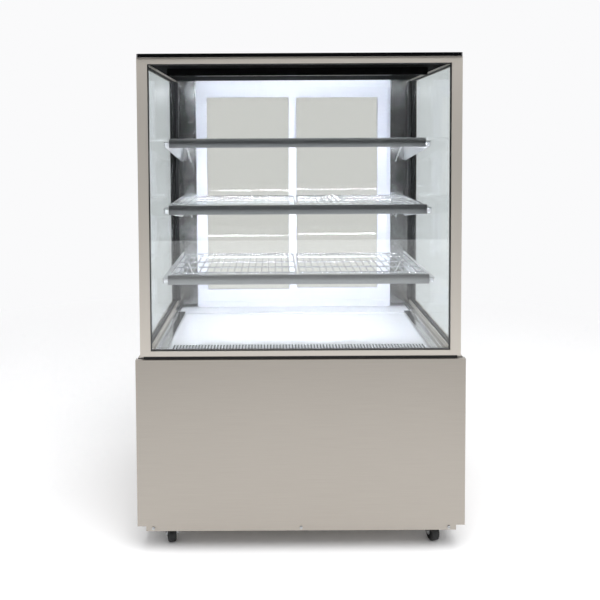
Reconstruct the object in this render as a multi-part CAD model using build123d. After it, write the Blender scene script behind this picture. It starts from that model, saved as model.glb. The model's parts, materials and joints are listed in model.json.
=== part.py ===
from build123d import *
import math
import os

# Free-standing refrigerated food display: a stainless base with the cooling machinery,
# a glazed case with lit wire shelves, sliding rear doors and four swivel castors.
# Millimetres. X to the right seen from the front, Y to the back, Z up, floor at Z = 0.

# Overall
WIDTH = 900.0
DEPTH = 700.0
HEIGHT = 1368.0
BODY_INSET = 12.5
SHEET = 1.2
GAP = 0.3

# Base
SKIRT_BOTTOM = 60.0
PAN_LEVEL = 68.0
PAN_INSET = 23.0
PAN_TOP = 98.0
PAN_SETBACK = 4.0
PANEL_BOTTOM = 76.0
PANEL_TOP = 538.5
PANEL_RETURN = 20.0
SIDE_INSET = 3.0
REAR_SETBACK = 15.0
LOUVRE_COUNT = 11
LOUVRE_PITCH = 15.0
LOUVRE_OPENING = 5.0
LOUVRE_LENGTH = 300.0
LOUVRE_BOTTOM = 140.0
LOUVRE_X = 190.0
SCREW_HEAD_RADIUS = 4.5
SCREW_HEAD_HEIGHT = 2.2
SCREW_SLOT = 1.2
SCREW_EDGE = 20.0

# Insulated well under the deck
WELL_TOP = 547.0
WELL_BOTTOM = 400.0
WELL_WALL = 28.0
WELL_INSET = 8.0
WELL_FRONT = 12.0
CASE_SETBACK = 17.0

# Glazed case: stainless front frame
FRAME_SETBACK = 5.0
FRAME_FACE = 28.5
FRAME_DEPTH = 30.0
FRAME_LIP = 3.0
REBATE = 8.0
SILL_HEIGHT = 14.0
HEAD_HEIGHT = 17.0
TOP_THICKNESS = 10.0
TOP_CORNER = 8.0
ROOF_THICKNESS = 13.0

# Double glazing
PANE = 4.0
AIR_GAP = 9.0
SPACER_WIDTH = 12.0
SIDE_GLASS_INSET = 3.5

# Rear posts
POST_DEPTH = 83.0
POST_WIDTH = 92.5
POST_WALL = 1.5
SLOT_INSET = 43.5
SLOT_WIDTH = 4.0
SLOT_HEIGHT = 14.0
SLOT_PITCH = 25.0
SLOT_FIRST = 612.0
SLOT_HEADROOM = 28.0
GASKET_WIDTH = 10.0
GASKET_DEPTH = 8.0

# Sliding doors
TRACK_RECESS = 6.0
TRACK_DEPTH = 48.0
JAMB = 6.0
JAMB_POCKET = 4.0
TRACK_FOOT = 18.0
TRACK_HEAD = 26.0
TRACK_GROOVE = 5.0
TRACK_PLAY = 1.0
DOOR_THICKNESS = 16.0
DOOR_RUN_GAP = 6.0
DOOR_LAP = 11.0
STILE = 35.0
MEETING_STILE = 23.0
DOOR_HEAD_RAIL = 33.0
DOOR_FOOT_RAIL = 43.0
DOOR_GLASS = 5.0
GLASS_BITE = 7.0
PULL_LENGTH = 220.0
PULL_WIDTH = 14.0
PULL_RECESS = 6.0

# Deck
DECK_LEVEL = 533.0
DECK_INSET = 60.0
DECK_FRONT = 164.0
LEDGE_DEPTH = 87.0
DECK_SHEET = 3.0
DECK_SKIRT = 12.0
GRILLE_FRONT = 42.0
GRILLE_MARGIN = 11.2
GRILLE_PITCH = 13.6
GRILLE_SLOT_WIDTH = 6.8
GRILLE_SLOT_LENGTH = 84.0
GRILLE_EDGE = 7.0
CHANNEL_LEVEL = 542.0
LEDGE_LEVEL = 536.0

# Shelves: the front edge of each, from the cabinet front, and its top level
SHELF_FRONTS = (185.0, 165.0, 130.0)
SHELF_LEVELS = (1140.6, 944.4, 745.0)
SHELF_INSET = 58.5
SHELF_BACK_GAP = 90.0
FASCIA_HEIGHT = 27.3
FASCIA_LIP = 12.0
FASCIA_TIN = 1.5
FASCIA_BOW = 2.0
LIGHT_DEPTH = 9.0
LIGHT_HEIGHT = 8.0
BRACKET_TIN = 2.5
BRACKET_FLANGE = 24.0
BRACKET_ROOT = 70.0
BRACKET_TIP = 16.0
HOOK_DEPTH = 6.0
HOOK_HEIGHT = 9.0
RACK_GAP = 6.0
RACK_WIRE = 3.6
RACK_ROD = 5.0
RACK_WIRES = 17
RACK_RODS = 4
RACK_TURN = 10.0
LEAD_RADIUS = 1.6
LEAD_DROP = 82.0
SOCKET_INSET = 75.5
SOCKET_SIDE = 10.0
CEILING_LIGHT_FRONT = 165.0
CEILING_LIGHT_HEIGHT = 20.7

# Machinery
COIL_DEPTH = 60.0
COIL_LENGTH = 560.0
COIL_HEIGHT = 88.0
COIL_FINS = 13
COIL_FIN_PROUD = 3.0
COIL_BEND = 10.0
FIN = 1.0
FAN_RADIUS = 38.0
FAN_HUB = 15.0
FAN_THICKNESS = 18.0
FAN_BLADES = 5
FAN_BLADE_WIDTH = 0.42
FAN_SPREAD = 150.0
FAN_LINE = 200.0
SHROUD_THICKNESS = 8.0
FAN_CLEARANCE = 3.0
FAN_SEAT = 0.5
CONDENSER_LENGTH = 300.0
CONDENSER_HEIGHT = 220.0
CONDENSER_DEPTH = 46.0
CONDENSER_FINS = 12
CONDENSER_FAN_RADIUS = 90.0
COMPRESSOR_RADIUS = 85.0
COMPRESSOR_HEIGHT = 190.0
COMPRESSOR_STEPS = ((0, 50), (16, 16), (55, 0))
COMPRESSOR_X = -190.0
COMPRESSOR_Y = 130.0
TRAY_HEIGHT = 35.0
TRAY_X = (40.0, 340.0)
TRAY_Y = (120.0, 320.0)

# Controls on the rear panel
CONTROL_X = -300.0
CONTROL_Z = 350.0
BEZEL_LENGTH = 78.0
BEZEL_HEIGHT = 36.0
BEZEL_PROUD = 3.0
BUTTON_COUNT = 3
BUTTON_PITCH = 18.0
BUTTON_RADIUS = 4.0
BUTTON_CLEARANCE = 0.1
BUTTON_PROUD = 1.4
BUTTON_LENGTH = 9.0
ROCKER_OFFSET = 75.0
ROCKER_WIDTH = 14.0
ROCKER_HEIGHT = 22.0
ROCKER_FRAME = 3.0
ROCKER_PLAY = 0.5
GLAND_RADIUS = 11.0
GLAND_LENGTH = 14.0

# Castors
CASTOR_INSET = 80.0
CASTOR_Y = 78.0
CASTOR_TURN = 15.0
WHEEL_RADIUS = 25.0
WHEEL_WIDTH = 22.0
WHEEL_ROUND = 3.0
WHEEL_DISH = 2.0
AXLE_RADIUS = 3.5
RUN_CLEARANCE = 0.05
TRAIL = 18.0
FORK_TIN = 2.5
FORK_GAP = 1.2
FORK_HEAD_RADIUS = 21.0
FORK_HEAD_HEIGHT = 6.0
PLATE_LENGTH = 60.0
PLATE_TIN = 2.5
PLATE_CORNER = 6.0
PLATE_BOLT = 5.0
PLATE_BOLT_HEIGHT = 3.0
PLATE_PITCH = 44.0
KING_PIN_RADIUS = 6.0
BRAKE_PIVOT_Y = 25.5
BRAKE_PIVOT_Z = 54.0
BRAKE_REACH = 30.0
BRAKE_PIN = 2.0
BRAKE_KNUCKLE = 3.5

FRONT = -DEPTH / 2
BACK = DEPTH / 2
REAR = BACK - REAR_SETBACK
TOP_UNDER = HEIGHT - TOP_THICKNESS
ROOF_UNDER = TOP_UNDER - ROOF_THICKNESS
HEAD_UNDER = TOP_UNDER - HEAD_HEIGHT
BODY_SIDE = WIDTH / 2 - BODY_INSET
SILL_TOP = WELL_TOP + SILL_HEIGHT
UNIT = 2 * PANE + AIR_GAP
GLASS_OUTER = BODY_SIDE - SIDE_GLASS_INSET
GLASS_INNER = GLASS_OUTER - UNIT
FRAME_FRONT = FRONT + FRAME_SETBACK
FRAME_BACK = FRAME_FRONT + FRAME_DEPTH
WELL_SIDE = BODY_SIDE - WELL_INSET
WELL_CLEAR = WELL_SIDE - WELL_WALL
CASE_BACK = BACK - CASE_SETBACK
POST_Y = CASE_BACK - POST_DEPTH
POST_INNER = BODY_SIDE - POST_WIDTH
SLOT_X = BODY_SIDE - SLOT_INSET
SOCKET_X = BODY_SIDE - SOCKET_INSET
SLOT_COUNT = math.floor((HEAD_UNDER - SLOT_HEADROOM - SLOT_FIRST) / SLOT_PITCH)
TRACK_FRONT = POST_Y + TRACK_RECESS
DECK_SIDE = BODY_SIDE - DECK_INSET
DECK_BACK = POST_Y - LEDGE_DEPTH
GRILLE_SLOTS = math.floor(2 * (DECK_SIDE - GRILLE_MARGIN) / GRILLE_PITCH) + 1
SHELF_SIDE = BODY_SIDE - SHELF_INSET
SHELF_BACK = POST_Y - SHELF_BACK_GAP
PAN_SIDE = WIDTH / 2 - PAN_INSET
OPENING_SIDE = POST_INNER - JAMB
DOOR_WIDTH = OPENING_SIDE + DOOR_LAP
DOOR_BOTTOM = LEDGE_LEVEL + TRACK_FOOT
DOOR_TOP = ROOF_UNDER - TRACK_HEAD
PAN_BED = PAN_LEVEL + SHEET
RACK_SEAT = RACK_WIRE + RACK_ROD


def slab(x0, x1, y0, y1, z0, z1):
    """A rectangular block between two corners."""
    return Pos((x0 + x1) / 2, (y0 + y1) / 2, (z0 + z1) / 2) * Box(x1 - x0, y1 - y0, z1 - z0)


def prism_x(points, x0, x1):
    """A (y, z) outline carried along X."""
    face = make_face(Plane.YZ * Polyline(*points, close=True))
    return Pos(x0, 0, 0) * extrude(face, x1 - x0, dir=(1, 0, 0))


def prism_y(points, y0, y1):
    """An (x, z) outline carried along Y."""
    outline = Polyline(*[(x, 0, z) for x, z in points], close=True)
    return Pos(0, y0, 0) * extrude(make_face(outline), y1 - y0, dir=(0, 1, 0))


def prism_z(points, z0, z1):
    """An (x, y) outline carried up Z."""
    face = make_face(Polyline(*points, close=True))
    return Pos(0, 0, z0) * extrude(face, z1 - z0, dir=(0, 0, 1))


def mirrored(shape):
    """The same piece on the other side of the cabinet."""
    return mirror(shape, about=Plane.YZ)


def save(name, *solids):
    """One node: one file, with each piece as its own solid."""
    found = [s for shape in solids for s in shape.solids()]
    export_step(Compound(children=found), f"parts/{name}.step")


def both_sides(name, shape):
    save(f"{name}_right", shape)
    save(f"{name}_left", mirrored(shape))


# The base

def base_pan():
    """The tray that carries the machinery: a floor with upturned edges and a skirt below it."""
    half = PAN_SIDE
    y0, y1 = FRONT + PAN_SETBACK, REAR - SHEET - GAP
    block = slab(-half, half, y0, y1, SKIRT_BOTTOM, PAN_TOP)
    above = slab(-half + SHEET, half - SHEET, y0 + SHEET, y1 - SHEET, PAN_BED, PAN_TOP)
    below = slab(-half + SHEET, half - SHEET, y0 + SHEET, y1 - SHEET, SKIRT_BOTTOM, PAN_LEVEL)
    return block - above - below


def front_panel():
    """A folded stainless tray: the broad face, side returns and returns at top and foot."""
    half = WIDTH / 2
    y_side = FRONT + PANEL_RETURN
    face = slab(-half, half, FRONT, FRONT + SHEET, PANEL_BOTTOM, PANEL_TOP)
    sides = [slab(x, x + SHEET, FRONT, y_side, PANEL_BOTTOM, PANEL_TOP) for x in (-half, half - SHEET)]
    top = slab(-half, half, FRONT, FRONT + WELL_FRONT - GAP, PANEL_TOP - SHEET, PANEL_TOP)
    foot = slab(-half, half, FRONT, FRONT + PAN_SETBACK - GAP, PANEL_BOTTOM, PANEL_BOTTOM + SHEET)
    return face.fuse(*sides, top, foot)


def side_panel():
    """The right side of the base, returned inwards at the top to the well and at the foot to the pan."""
    x1 = WIDTH / 2 - SIDE_INSET
    y0, y1 = FRONT + PANEL_RETURN + GAP, BACK
    wall = slab(x1 - SHEET, x1, y0, y1, PANEL_BOTTOM, PANEL_TOP)
    top = slab(WELL_SIDE + GAP, x1, y0, y1, PANEL_TOP - SHEET, PANEL_TOP)
    foot = slab(PAN_SIDE + GAP, x1, y0, y1, PANEL_BOTTOM, PANEL_BOTTOM + SHEET)
    return wall.fuse(top, foot)


def rear_panel():
    """The service panel: louvres behind the condenser, openings for the controls and the flex inlet."""
    half = WIDTH / 2 - SIDE_INSET - SHEET - GAP
    plate = slab(-half, half, REAR - SHEET, REAR, PANEL_BOTTOM + SHEET + GAP, PANEL_TOP - SHEET - GAP)
    cuts = []
    for i in range(LOUVRE_COUNT):
        z = LOUVRE_BOTTOM + i * LOUVRE_PITCH
        for x in (-LOUVRE_X, LOUVRE_X):
            cuts.append(slab(x - LOUVRE_LENGTH / 2, x + LOUVRE_LENGTH / 2, REAR - 2 * SHEET, REAR + SHEET,
                             z, z + LOUVRE_OPENING))
    cuts.append(slab(CONTROL_X - BEZEL_LENGTH / 2 + 5, CONTROL_X + BEZEL_LENGTH / 2 - 5, REAR - 2 * SHEET,
                     REAR + SHEET, CONTROL_Z - BEZEL_HEIGHT / 2 + 4, CONTROL_Z + BEZEL_HEIGHT / 2 - 4))
    x = CONTROL_X + ROCKER_OFFSET
    cuts.append(slab(x - ROCKER_WIDTH / 2 - 1, x + ROCKER_WIDTH / 2 + 1, REAR - 2 * SHEET, REAR + SHEET,
                     CONTROL_Z - ROCKER_HEIGHT / 2 - 1, CONTROL_Z + ROCKER_HEIGHT / 2 + 1))
    cuts.append(along_y(*gland_place(), GLAND_RADIUS - 2, 4 * SHEET))
    return plate - cuts


def along_y(x, y, z, radius, length):
    """A cylinder along Y, centred."""
    return Pos(x, y, z) * Rot(90, 0, 0) * Cylinder(radius, length)


def gland_place():
    return CONTROL_X - 60, REAR, LOUVRE_BOTTOM - 25


def screw():
    """A pan head with a straight slot, facing the front."""
    head = Rot(90, 0, 0) * extrude(RegularPolygon(SCREW_HEAD_RADIUS, 8), SCREW_HEAD_HEIGHT / 2, both=True)
    slot = Box(2 * SCREW_HEAD_RADIUS, SCREW_HEAD_HEIGHT, SCREW_SLOT)
    return head - Pos(0, -SCREW_HEAD_HEIGHT / 2, 0) * slot


def screws():
    """Pan-head screws along the front skirt and round the rear panel."""
    z = (SKIRT_BOTTOM + PANEL_BOTTOM) / 2
    half = PAN_SIDE - SCREW_EDGE
    y = FRONT + PAN_SETBACK - SCREW_HEAD_HEIGHT / 2
    found = [Pos(x, y, z) * screw() for x in (-half, 0, half)]
    for x in (-half, 0, half):
        for z in (PANEL_BOTTOM + SCREW_EDGE, PANEL_TOP - SCREW_EDGE):
            found.append(Pos(x, REAR + SCREW_HEAD_HEIGHT / 2, z) * Rot(0, 0, 180) * screw())
    return found


def well():
    """The foamed tub under the deck, open upwards; its rim carries the glazed case."""
    y0, y1 = FRONT + WELL_FRONT, CASE_BACK
    hollow = slab(-WELL_CLEAR, WELL_CLEAR, y0 + WELL_WALL, y1 - WELL_WALL, WELL_BOTTOM + WELL_WALL, WELL_TOP)
    return slab(-WELL_SIDE, WELL_SIDE, y0, y1, WELL_BOTTOM, WELL_TOP) - hollow


# The glazed case

def sill():
    """The front rail under the glass, rebated from behind."""
    y0, y1 = FRAME_FRONT, FRAME_BACK
    step = SILL_TOP - REBATE
    outline = [(y0, WELL_TOP), (y1, WELL_TOP), (y1, step), (y0 + FRAME_LIP, step), (y0 + FRAME_LIP, SILL_TOP),
               (y0, SILL_TOP)]
    return prism_x(outline, -BODY_SIDE, BODY_SIDE)


def head_rail():
    """The front rail over the glass, the same section turned over."""
    y0, y1 = FRAME_FRONT, FRAME_BACK
    step = HEAD_UNDER + REBATE
    outline = [(y0, TOP_UNDER), (y1, TOP_UNDER), (y1, step), (y0 + FRAME_LIP, step), (y0 + FRAME_LIP, HEAD_UNDER),
               (y0, HEAD_UNDER)]
    return prism_x(outline, -BODY_SIDE, BODY_SIDE)


def front_post():
    """The right upright of the front frame, rebated for the glass."""
    x1 = BODY_SIDE
    x0 = x1 - FRAME_FACE
    y0, y1 = FRAME_FRONT, FRAME_BACK
    outline = [(x0, y0), (x1, y0), (x1, y1), (x0 + REBATE, y1), (x0 + REBATE, y0 + FRAME_LIP), (x0, y0 + FRAME_LIP)]
    return prism_z(outline, SILL_TOP, HEAD_UNDER)


def front_frame():
    """Sill, head rail and two uprights, welded into one frame."""
    post = front_post()
    return sill().fuse(head_rail(), post, mirrored(post))


def spacer(width, height):
    """The edge spacer of a double-glazed unit, standing in the XZ plane."""
    outer = Box(width, AIR_GAP - 2 * GAP, height)
    return outer - Box(width - 2 * SPACER_WIDTH, AIR_GAP, height - 2 * SPACER_WIDTH)


def front_glazing():
    """Outer pane, inner pane and the spacer between them, seated in the front frame."""
    half = BODY_SIDE - FRAME_FACE + REBATE - GAP
    z0, z1 = SILL_TOP - REBATE + GAP, HEAD_UNDER + REBATE - GAP
    y0 = FRAME_FRONT + FRAME_LIP + GAP
    outer = slab(-half, half, y0, y0 + PANE, z0, z1)
    inner = slab(-half, half, y0 + PANE + AIR_GAP, y0 + UNIT, z0, z1)
    ring = Pos(0, y0 + PANE + AIR_GAP / 2, (z0 + z1) / 2) * spacer(2 * half, z1 - z0)
    return outer, inner, ring


def side_glazing():
    """The right side unit, from the front frame to the rear post."""
    y0, y1 = FRAME_BACK + GAP, POST_Y - GAP
    z0, z1 = SILL_TOP - REBATE + GAP, HEAD_UNDER + REBATE - GAP
    outer = slab(GLASS_OUTER - PANE, GLASS_OUTER, y0, y1, z0, z1)
    inner = slab(GLASS_INNER, GLASS_INNER + PANE, y0, y1, z0, z1)
    ring = Pos((GLASS_INNER + GLASS_OUTER) / 2, (y0 + y1) / 2, (z0 + z1) / 2) * Rot(0, 0, 90) * spacer(
        y1 - y0, z1 - z0)
    return outer, inner, ring


def side_rail(z0, z1, groove_z0, groove_z1):
    """A side rail of the case with a groove that holds the right side unit."""
    x0 = GLASS_INNER - SIDE_GLASS_INSET
    y0, y1 = FRAME_BACK + GAP, POST_Y - GAP
    rail = slab(x0, BODY_SIDE, y0, y1, z0, z1)
    return rail - slab(GLASS_INNER - GAP, GLASS_OUTER + GAP, y0, y1, groove_z0, groove_z1)


def side_rails():
    """The right side rails, under and over the glass."""
    low = side_rail(WELL_TOP, SILL_TOP, SILL_TOP - REBATE, SILL_TOP)
    high = side_rail(HEAD_UNDER, TOP_UNDER, HEAD_UNDER, HEAD_UNDER + REBATE)
    return low, high


def rear_post():
    """A folded box post with a row of slots for the shelf brackets and sockets for the light leads."""
    y0, y1 = POST_Y, CASE_BACK
    tube = slab(POST_INNER, BODY_SIDE, y0, y1, WELL_TOP, TOP_UNDER)
    tube -= slab(POST_INNER + POST_WALL, BODY_SIDE - POST_WALL, y0 + POST_WALL, y1 - POST_WALL, WELL_TOP, TOP_UNDER)
    cuts = []
    for i in range(SLOT_COUNT):
        z = SLOT_FIRST + i * SLOT_PITCH
        cuts.append(slab(SLOT_X - SLOT_WIDTH / 2, SLOT_X + SLOT_WIDTH / 2, y0 - 1, y0 + POST_WALL + 1,
                         z, z + SLOT_HEIGHT))
    half = SOCKET_SIDE / 2
    for level in SHELF_LEVELS:
        z = level - LEAD_DROP
        cuts.append(slab(SOCKET_X - half, SOCKET_X + half, y0 - 1, y0 + POST_WALL + 1, z - half, z + half))
    return tube - cuts


def post_gasket():
    """The black seal in the corner between the right side glass and the rear post."""
    return slab(GLASS_INNER - GASKET_WIDTH, GLASS_INNER - GAP, POST_Y - GASKET_DEPTH, POST_Y - GAP,
                SILL_TOP + GAP, HEAD_UNDER - GAP)


def top_panel():
    """The black top with rounded vertical corners."""
    block = slab(-BODY_SIDE, BODY_SIDE, FRONT, CASE_BACK, TOP_UNDER, HEIGHT)
    return fillet(block.edges().filter_by(Axis.Z), TOP_CORNER)


def roof_panel():
    """The insulated lining under the top, between the side rails and behind the front frame."""
    x = GLASS_INNER - SIDE_GLASS_INSET - GAP
    wide = slab(-x, x, FRAME_BACK + GAP, POST_Y - GAP, ROOF_UNDER, TOP_UNDER)
    x = POST_INNER - GAP
    return wide.fuse(slab(-x, x, POST_Y - GAP, CASE_BACK, ROOF_UNDER, TOP_UNDER))


# The deck

def deck():
    """The white floor of the case, a shallow tray turned over."""
    half = DECK_SIDE
    y0, y1 = FRONT + DECK_FRONT, DECK_BACK
    z0 = DECK_LEVEL - DECK_SHEET
    skirt = DECK_LEVEL - DECK_SKIRT
    plate = slab(-half, half, y0, y1, z0, DECK_LEVEL)
    edges = [slab(-half, half, y0, y0 + SHEET, skirt, z0), slab(-half, half, y1 - SHEET, y1, skirt, z0)]
    return plate.fuse(*edges)


def air_grille():
    """The slotted intake strip between the front glass and the deck."""
    half = DECK_SIDE
    y0, y1 = FRONT + GRILLE_FRONT, FRONT + DECK_FRONT - GAP
    face = make_face(Polyline((-half, y0), (half, y0), (half, y1), (-half, y1), close=True))
    y_mid = y1 - GRILLE_EDGE - GRILLE_SLOT_LENGTH / 2
    slots = []
    for i in range(GRILLE_SLOTS):
        x = (i - (GRILLE_SLOTS - 1) / 2) * GRILLE_PITCH
        slots.append(Pos(x, y_mid) * Rectangle(GRILLE_SLOT_WIDTH, GRILLE_SLOT_LENGTH))
    return Pos(0, 0, DECK_LEVEL - SHEET) * extrude(face - slots, SHEET, dir=(0, 0, 1))


def deck_channel():
    """The stainless strip beside the deck, raised over the rim of the well at its outer edge."""
    x0, x1, x2 = DECK_SIDE + GAP, WELL_CLEAR, GLASS_INNER - SIDE_GLASS_INSET - GAP
    z0, z1, z2 = DECK_LEVEL - DECK_SKIRT, CHANNEL_LEVEL, WELL_TOP
    outline = [(x0, z0), (x0, z1), (x1 - SHEET - GAP, z1), (x1 - SHEET - GAP, z2 + SHEET), (x2, z2 + SHEET), (x2, z2),
               (x1 - GAP, z2), (x1 - GAP, z1 - SHEET), (x0 + SHEET, z1 - SHEET), (x0 + SHEET, z0)]
    return prism_y(outline, FRONT + GRILLE_FRONT, DECK_BACK)


def rear_ledge():
    """The white step behind the deck, under the door frame, closed at the front down to the deck."""
    y0, y1 = DECK_BACK + GAP, CASE_BACK - WELL_WALL - GAP
    x = WELL_CLEAR - GAP
    plate = slab(-x, x, y0, y1, LEDGE_LEVEL - DECK_SHEET, LEDGE_LEVEL)
    front = slab(-x, x, y0, y0 + SHEET, DECK_LEVEL - DECK_SKIRT, LEDGE_LEVEL)
    return plate.fuse(front)


# The shelves

def fascia(front, level, height):
    """The polished front edge of a shelf: a slightly bowed face with a lip behind its top and its foot."""
    y0, z1 = FRONT + front, level
    z0 = z1 - height
    y_bow, z_bow = y0 - FASCIA_BOW, (z0 + z1) / 2
    tin = FASCIA_TIN
    outline = ThreePointArc((0, y0, z0), (0, y_bow, z_bow), (0, y0, z1))
    outline += Polyline((0, y0, z1), (0, y0 + FASCIA_LIP, z1), (0, y0 + FASCIA_LIP, z1 - tin), (0, y0 + tin, z1 - tin))
    outline += ThreePointArc((0, y0 + tin, z1 - tin), (0, y_bow + tin, z_bow), (0, y0 + tin, z0 + tin))
    outline += Polyline((0, y0 + tin, z0 + tin), (0, y0 + FASCIA_LIP, z0 + tin), (0, y0 + FASCIA_LIP, z0), (0, y0, z0))
    face = make_face(outline)
    return Pos(-SHELF_SIDE, 0, 0) * extrude(face, 2 * SHELF_SIDE, dir=(1, 0, 0))


def light_bar(front, foot):
    """The LED bar behind the foot of a fascia, with a sloping diffuser."""
    half = SHELF_SIDE - 4
    y0 = FRONT + front + FASCIA_LIP + GAP
    outline = [(y0, foot), (y0, foot + LIGHT_HEIGHT), (y0 + LIGHT_DEPTH, foot + LIGHT_HEIGHT),
               (y0 + LIGHT_DEPTH, foot + LIGHT_HEIGHT / 2), (y0 + LIGHT_DEPTH / 2, foot)]
    return prism_x(outline, -half, half)


def bracket(front, level):
    """A pressed angle that hooks into the slots of the right rear post and carries the shelf end."""
    y0 = FRONT + front + FASCIA_TIN + GAP
    y1 = POST_Y - GAP
    z1 = level - RACK_SEAT - GAP
    x1 = SLOT_X + BRACKET_TIN / 2
    x0 = x1 - BRACKET_TIN
    y_nose = FRONT + front + FASCIA_LIP + GAP
    blade = [(y_nose, z1), (y1, z1), (y1, z1 - BRACKET_ROOT), (y1 - 30, z1 - BRACKET_ROOT), (y_nose, z1 - BRACKET_TIP)]
    arm = prism_x(blade, x0, x1)
    flange = slab(x1 - BRACKET_FLANGE, x1, y0, SHELF_BACK - RACK_WIRE - 1, z1 - BRACKET_TIN, z1)
    count = math.floor((z1 - BRACKET_ROOT - SLOT_FIRST) / SLOT_PITCH) + 1
    y_in = y1 + GAP + POST_WALL
    hooks = []
    for i in (count, count + 1):
        z = SLOT_FIRST + i * SLOT_PITCH + 2
        tongue = [(y1 - 1, z), (y_in + 1, z), (y_in + 1, z - 3), (y_in + HOOK_DEPTH, z - 3),
                  (y_in + HOOK_DEPTH, z + HOOK_HEIGHT), (y1 - 1, z + HOOK_HEIGHT)]
        hooks.append(prism_x(tongue, x0, x1))
    return arm.fuse(flange, *hooks)


def rack(front, level):
    """The right-hand rack of a shelf: a grid of close wires in a frame, a lipped back edge, and rods below."""
    x0, x1 = RACK_GAP / 2, SHELF_SIDE - 2
    y0, y1 = FRONT + front + FASCIA_LIP + GAP, SHELF_BACK
    z0 = level - RACK_WIRE
    pitch = (x1 - x0 - RACK_WIRE) / (RACK_WIRES - 1)
    sketch = Pos((x0 + x1) / 2, (y0 + y1) / 2) * Rectangle(x1 - x0, y1 - y0)
    opening = Rectangle(pitch - RACK_WIRE, y1 - y0 - 2 * RACK_WIRE)
    sketch -= [Pos(x0 + RACK_WIRE / 2 + (i + 0.5) * pitch, (y0 + y1) / 2) * opening for i in range(RACK_WIRES - 1)]
    grid = Pos(0, 0, z0) * extrude(sketch, RACK_WIRE, dir=(0, 0, 1))
    bars = [slab(x0, x1, y1 - RACK_WIRE, y1, level - RACK_TURN, z0)]
    for i in range(RACK_RODS):
        y = y0 + (y1 - y0 - 2 * RACK_ROD) * i / (RACK_RODS - 1)
        bars.append(slab(x0, x1, y, y + RACK_ROD, z0 - RACK_ROD, z0))
    return grid, bars


def light_lead(front, level):
    """The short flex from the light bar, under the rack, to its socket in the right rear post."""
    x = SHELF_SIDE - 9
    y0 = FRONT + front + FASCIA_LIP + LIGHT_DEPTH + 2 * GAP
    z0 = level - FASCIA_HEIGHT + LIGHT_HEIGHT / 2 + 1
    z1 = level - LEAD_DROP
    points = [(x, y0, z0), (x, POST_Y - 80, z0 - 6), (SOCKET_X, POST_Y - 34, z1 + 12), (SOCKET_X, POST_Y - 18, z1),
              (SOCKET_X, POST_Y + POST_WALL + 2, z1)]
    path = Polyline(*points)
    section = Plane(origin=path @ 0, z_dir=path % 0) * RegularPolygon(LEAD_RADIUS, 4)
    return sweep(section, path=path, transition=Transition.RIGHT)


# The sliding doors

def door_fronts():
    """The front face of the inner and the outer door."""
    y0 = TRACK_FRONT + (TRACK_DEPTH - 2 * DOOR_THICKNESS - DOOR_RUN_GAP) / 2
    return y0, y0 + DOOR_THICKNESS + DOOR_RUN_GAP


def door_frame():
    """The white frame: a track at the foot and the head with two grooves each, and a pocketed jamb each side."""
    x = POST_INNER - GAP
    y0, y1 = TRACK_FRONT, TRACK_FRONT + TRACK_DEPTH
    ring = slab(-x, x, y0, y1, LEDGE_LEVEL, ROOF_UNDER)
    ring -= slab(-OPENING_SIDE, OPENING_SIDE, y0, y1, DOOR_BOTTOM, DOOR_TOP)
    cuts = []
    for near in door_fronts():
        y2, y3 = near - TRACK_PLAY, near + DOOR_THICKNESS + TRACK_PLAY
        side = OPENING_SIDE + JAMB_POCKET
        cuts.append(slab(-side, side, y2, y3, DOOR_BOTTOM - TRACK_GROOVE, DOOR_TOP + TRACK_GROOVE))
    return ring - cuts


def door_leaf(x0, near, outer_on_left):
    """One door: a white frame running in the tracks, a recessed pull on its outer stile, and its glass."""
    x1, far = x0 + DOOR_WIDTH, near + DOOR_THICKNESS
    z0, z1 = DOOR_BOTTOM - TRACK_GROOVE + GAP, DOOR_TOP + TRACK_GROOVE - 2
    left, right = (STILE, MEETING_STILE) if outer_on_left else (MEETING_STILE, STILE)
    gx0, gx1, gz0, gz1 = x0 + left, x1 - right, DOOR_BOTTOM + DOOR_FOOT_RAIL, DOOR_TOP - DOOR_HEAD_RAIL
    frame = slab(x0, x1, near, far, z0, z1) - slab(gx0, gx1, near, far, gz0, gz1)
    middle = (near + far) / 2
    play = DOOR_GLASS / 2 + GAP
    bite = GLASS_BITE + GAP
    frame -= slab(gx0 - bite, gx1 + bite, middle - play, middle + play, gz0 - bite, gz1 + bite)
    glass = slab(gx0 - GLASS_BITE, gx1 + GLASS_BITE, middle - DOOR_GLASS / 2, middle + DOOR_GLASS / 2,
                 gz0 - GLASS_BITE, gz1 + GLASS_BITE)
    x_pull = x0 + left / 2 if outer_on_left else x1 - right / 2
    z_pull = (z0 + z1) / 2
    frame -= slab(x_pull - PULL_WIDTH / 2, x_pull + PULL_WIDTH / 2, far - PULL_RECESS, far,
                  z_pull - PULL_LENGTH / 2, z_pull + PULL_LENGTH / 2)
    return frame, glass


# The machinery

def fan_rotor(radius):
    """A hub with pitched blades, axis along Y."""
    hub = Rot(90, 0, 0) * extrude(RegularPolygon(FAN_HUB, 16), FAN_THICKNESS / 2, both=True)
    width = radius * FAN_BLADE_WIDTH
    reach = math.sqrt(radius**2 - (width / 2)**2)
    blades = []
    for i in range(FAN_BLADES):
        blade = Pos(0, 0, (reach + FAN_HUB) / 2 - 2) * Rot(0, 0, 25) * Box(width, 2, reach - FAN_HUB + 4)
        blades.append(Rot(0, 360 / FAN_BLADES * i, 0) * blade)
    return hub.fuse(*blades)


def fan_places():
    """The two evaporator fans: centres of their rotors."""
    z = WELL_BOTTOM + WELL_WALL + FAN_RADIUS + 8
    return [(x, FRONT + FAN_LINE, z) for x in (-FAN_SPREAD, FAN_SPREAD)]


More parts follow.
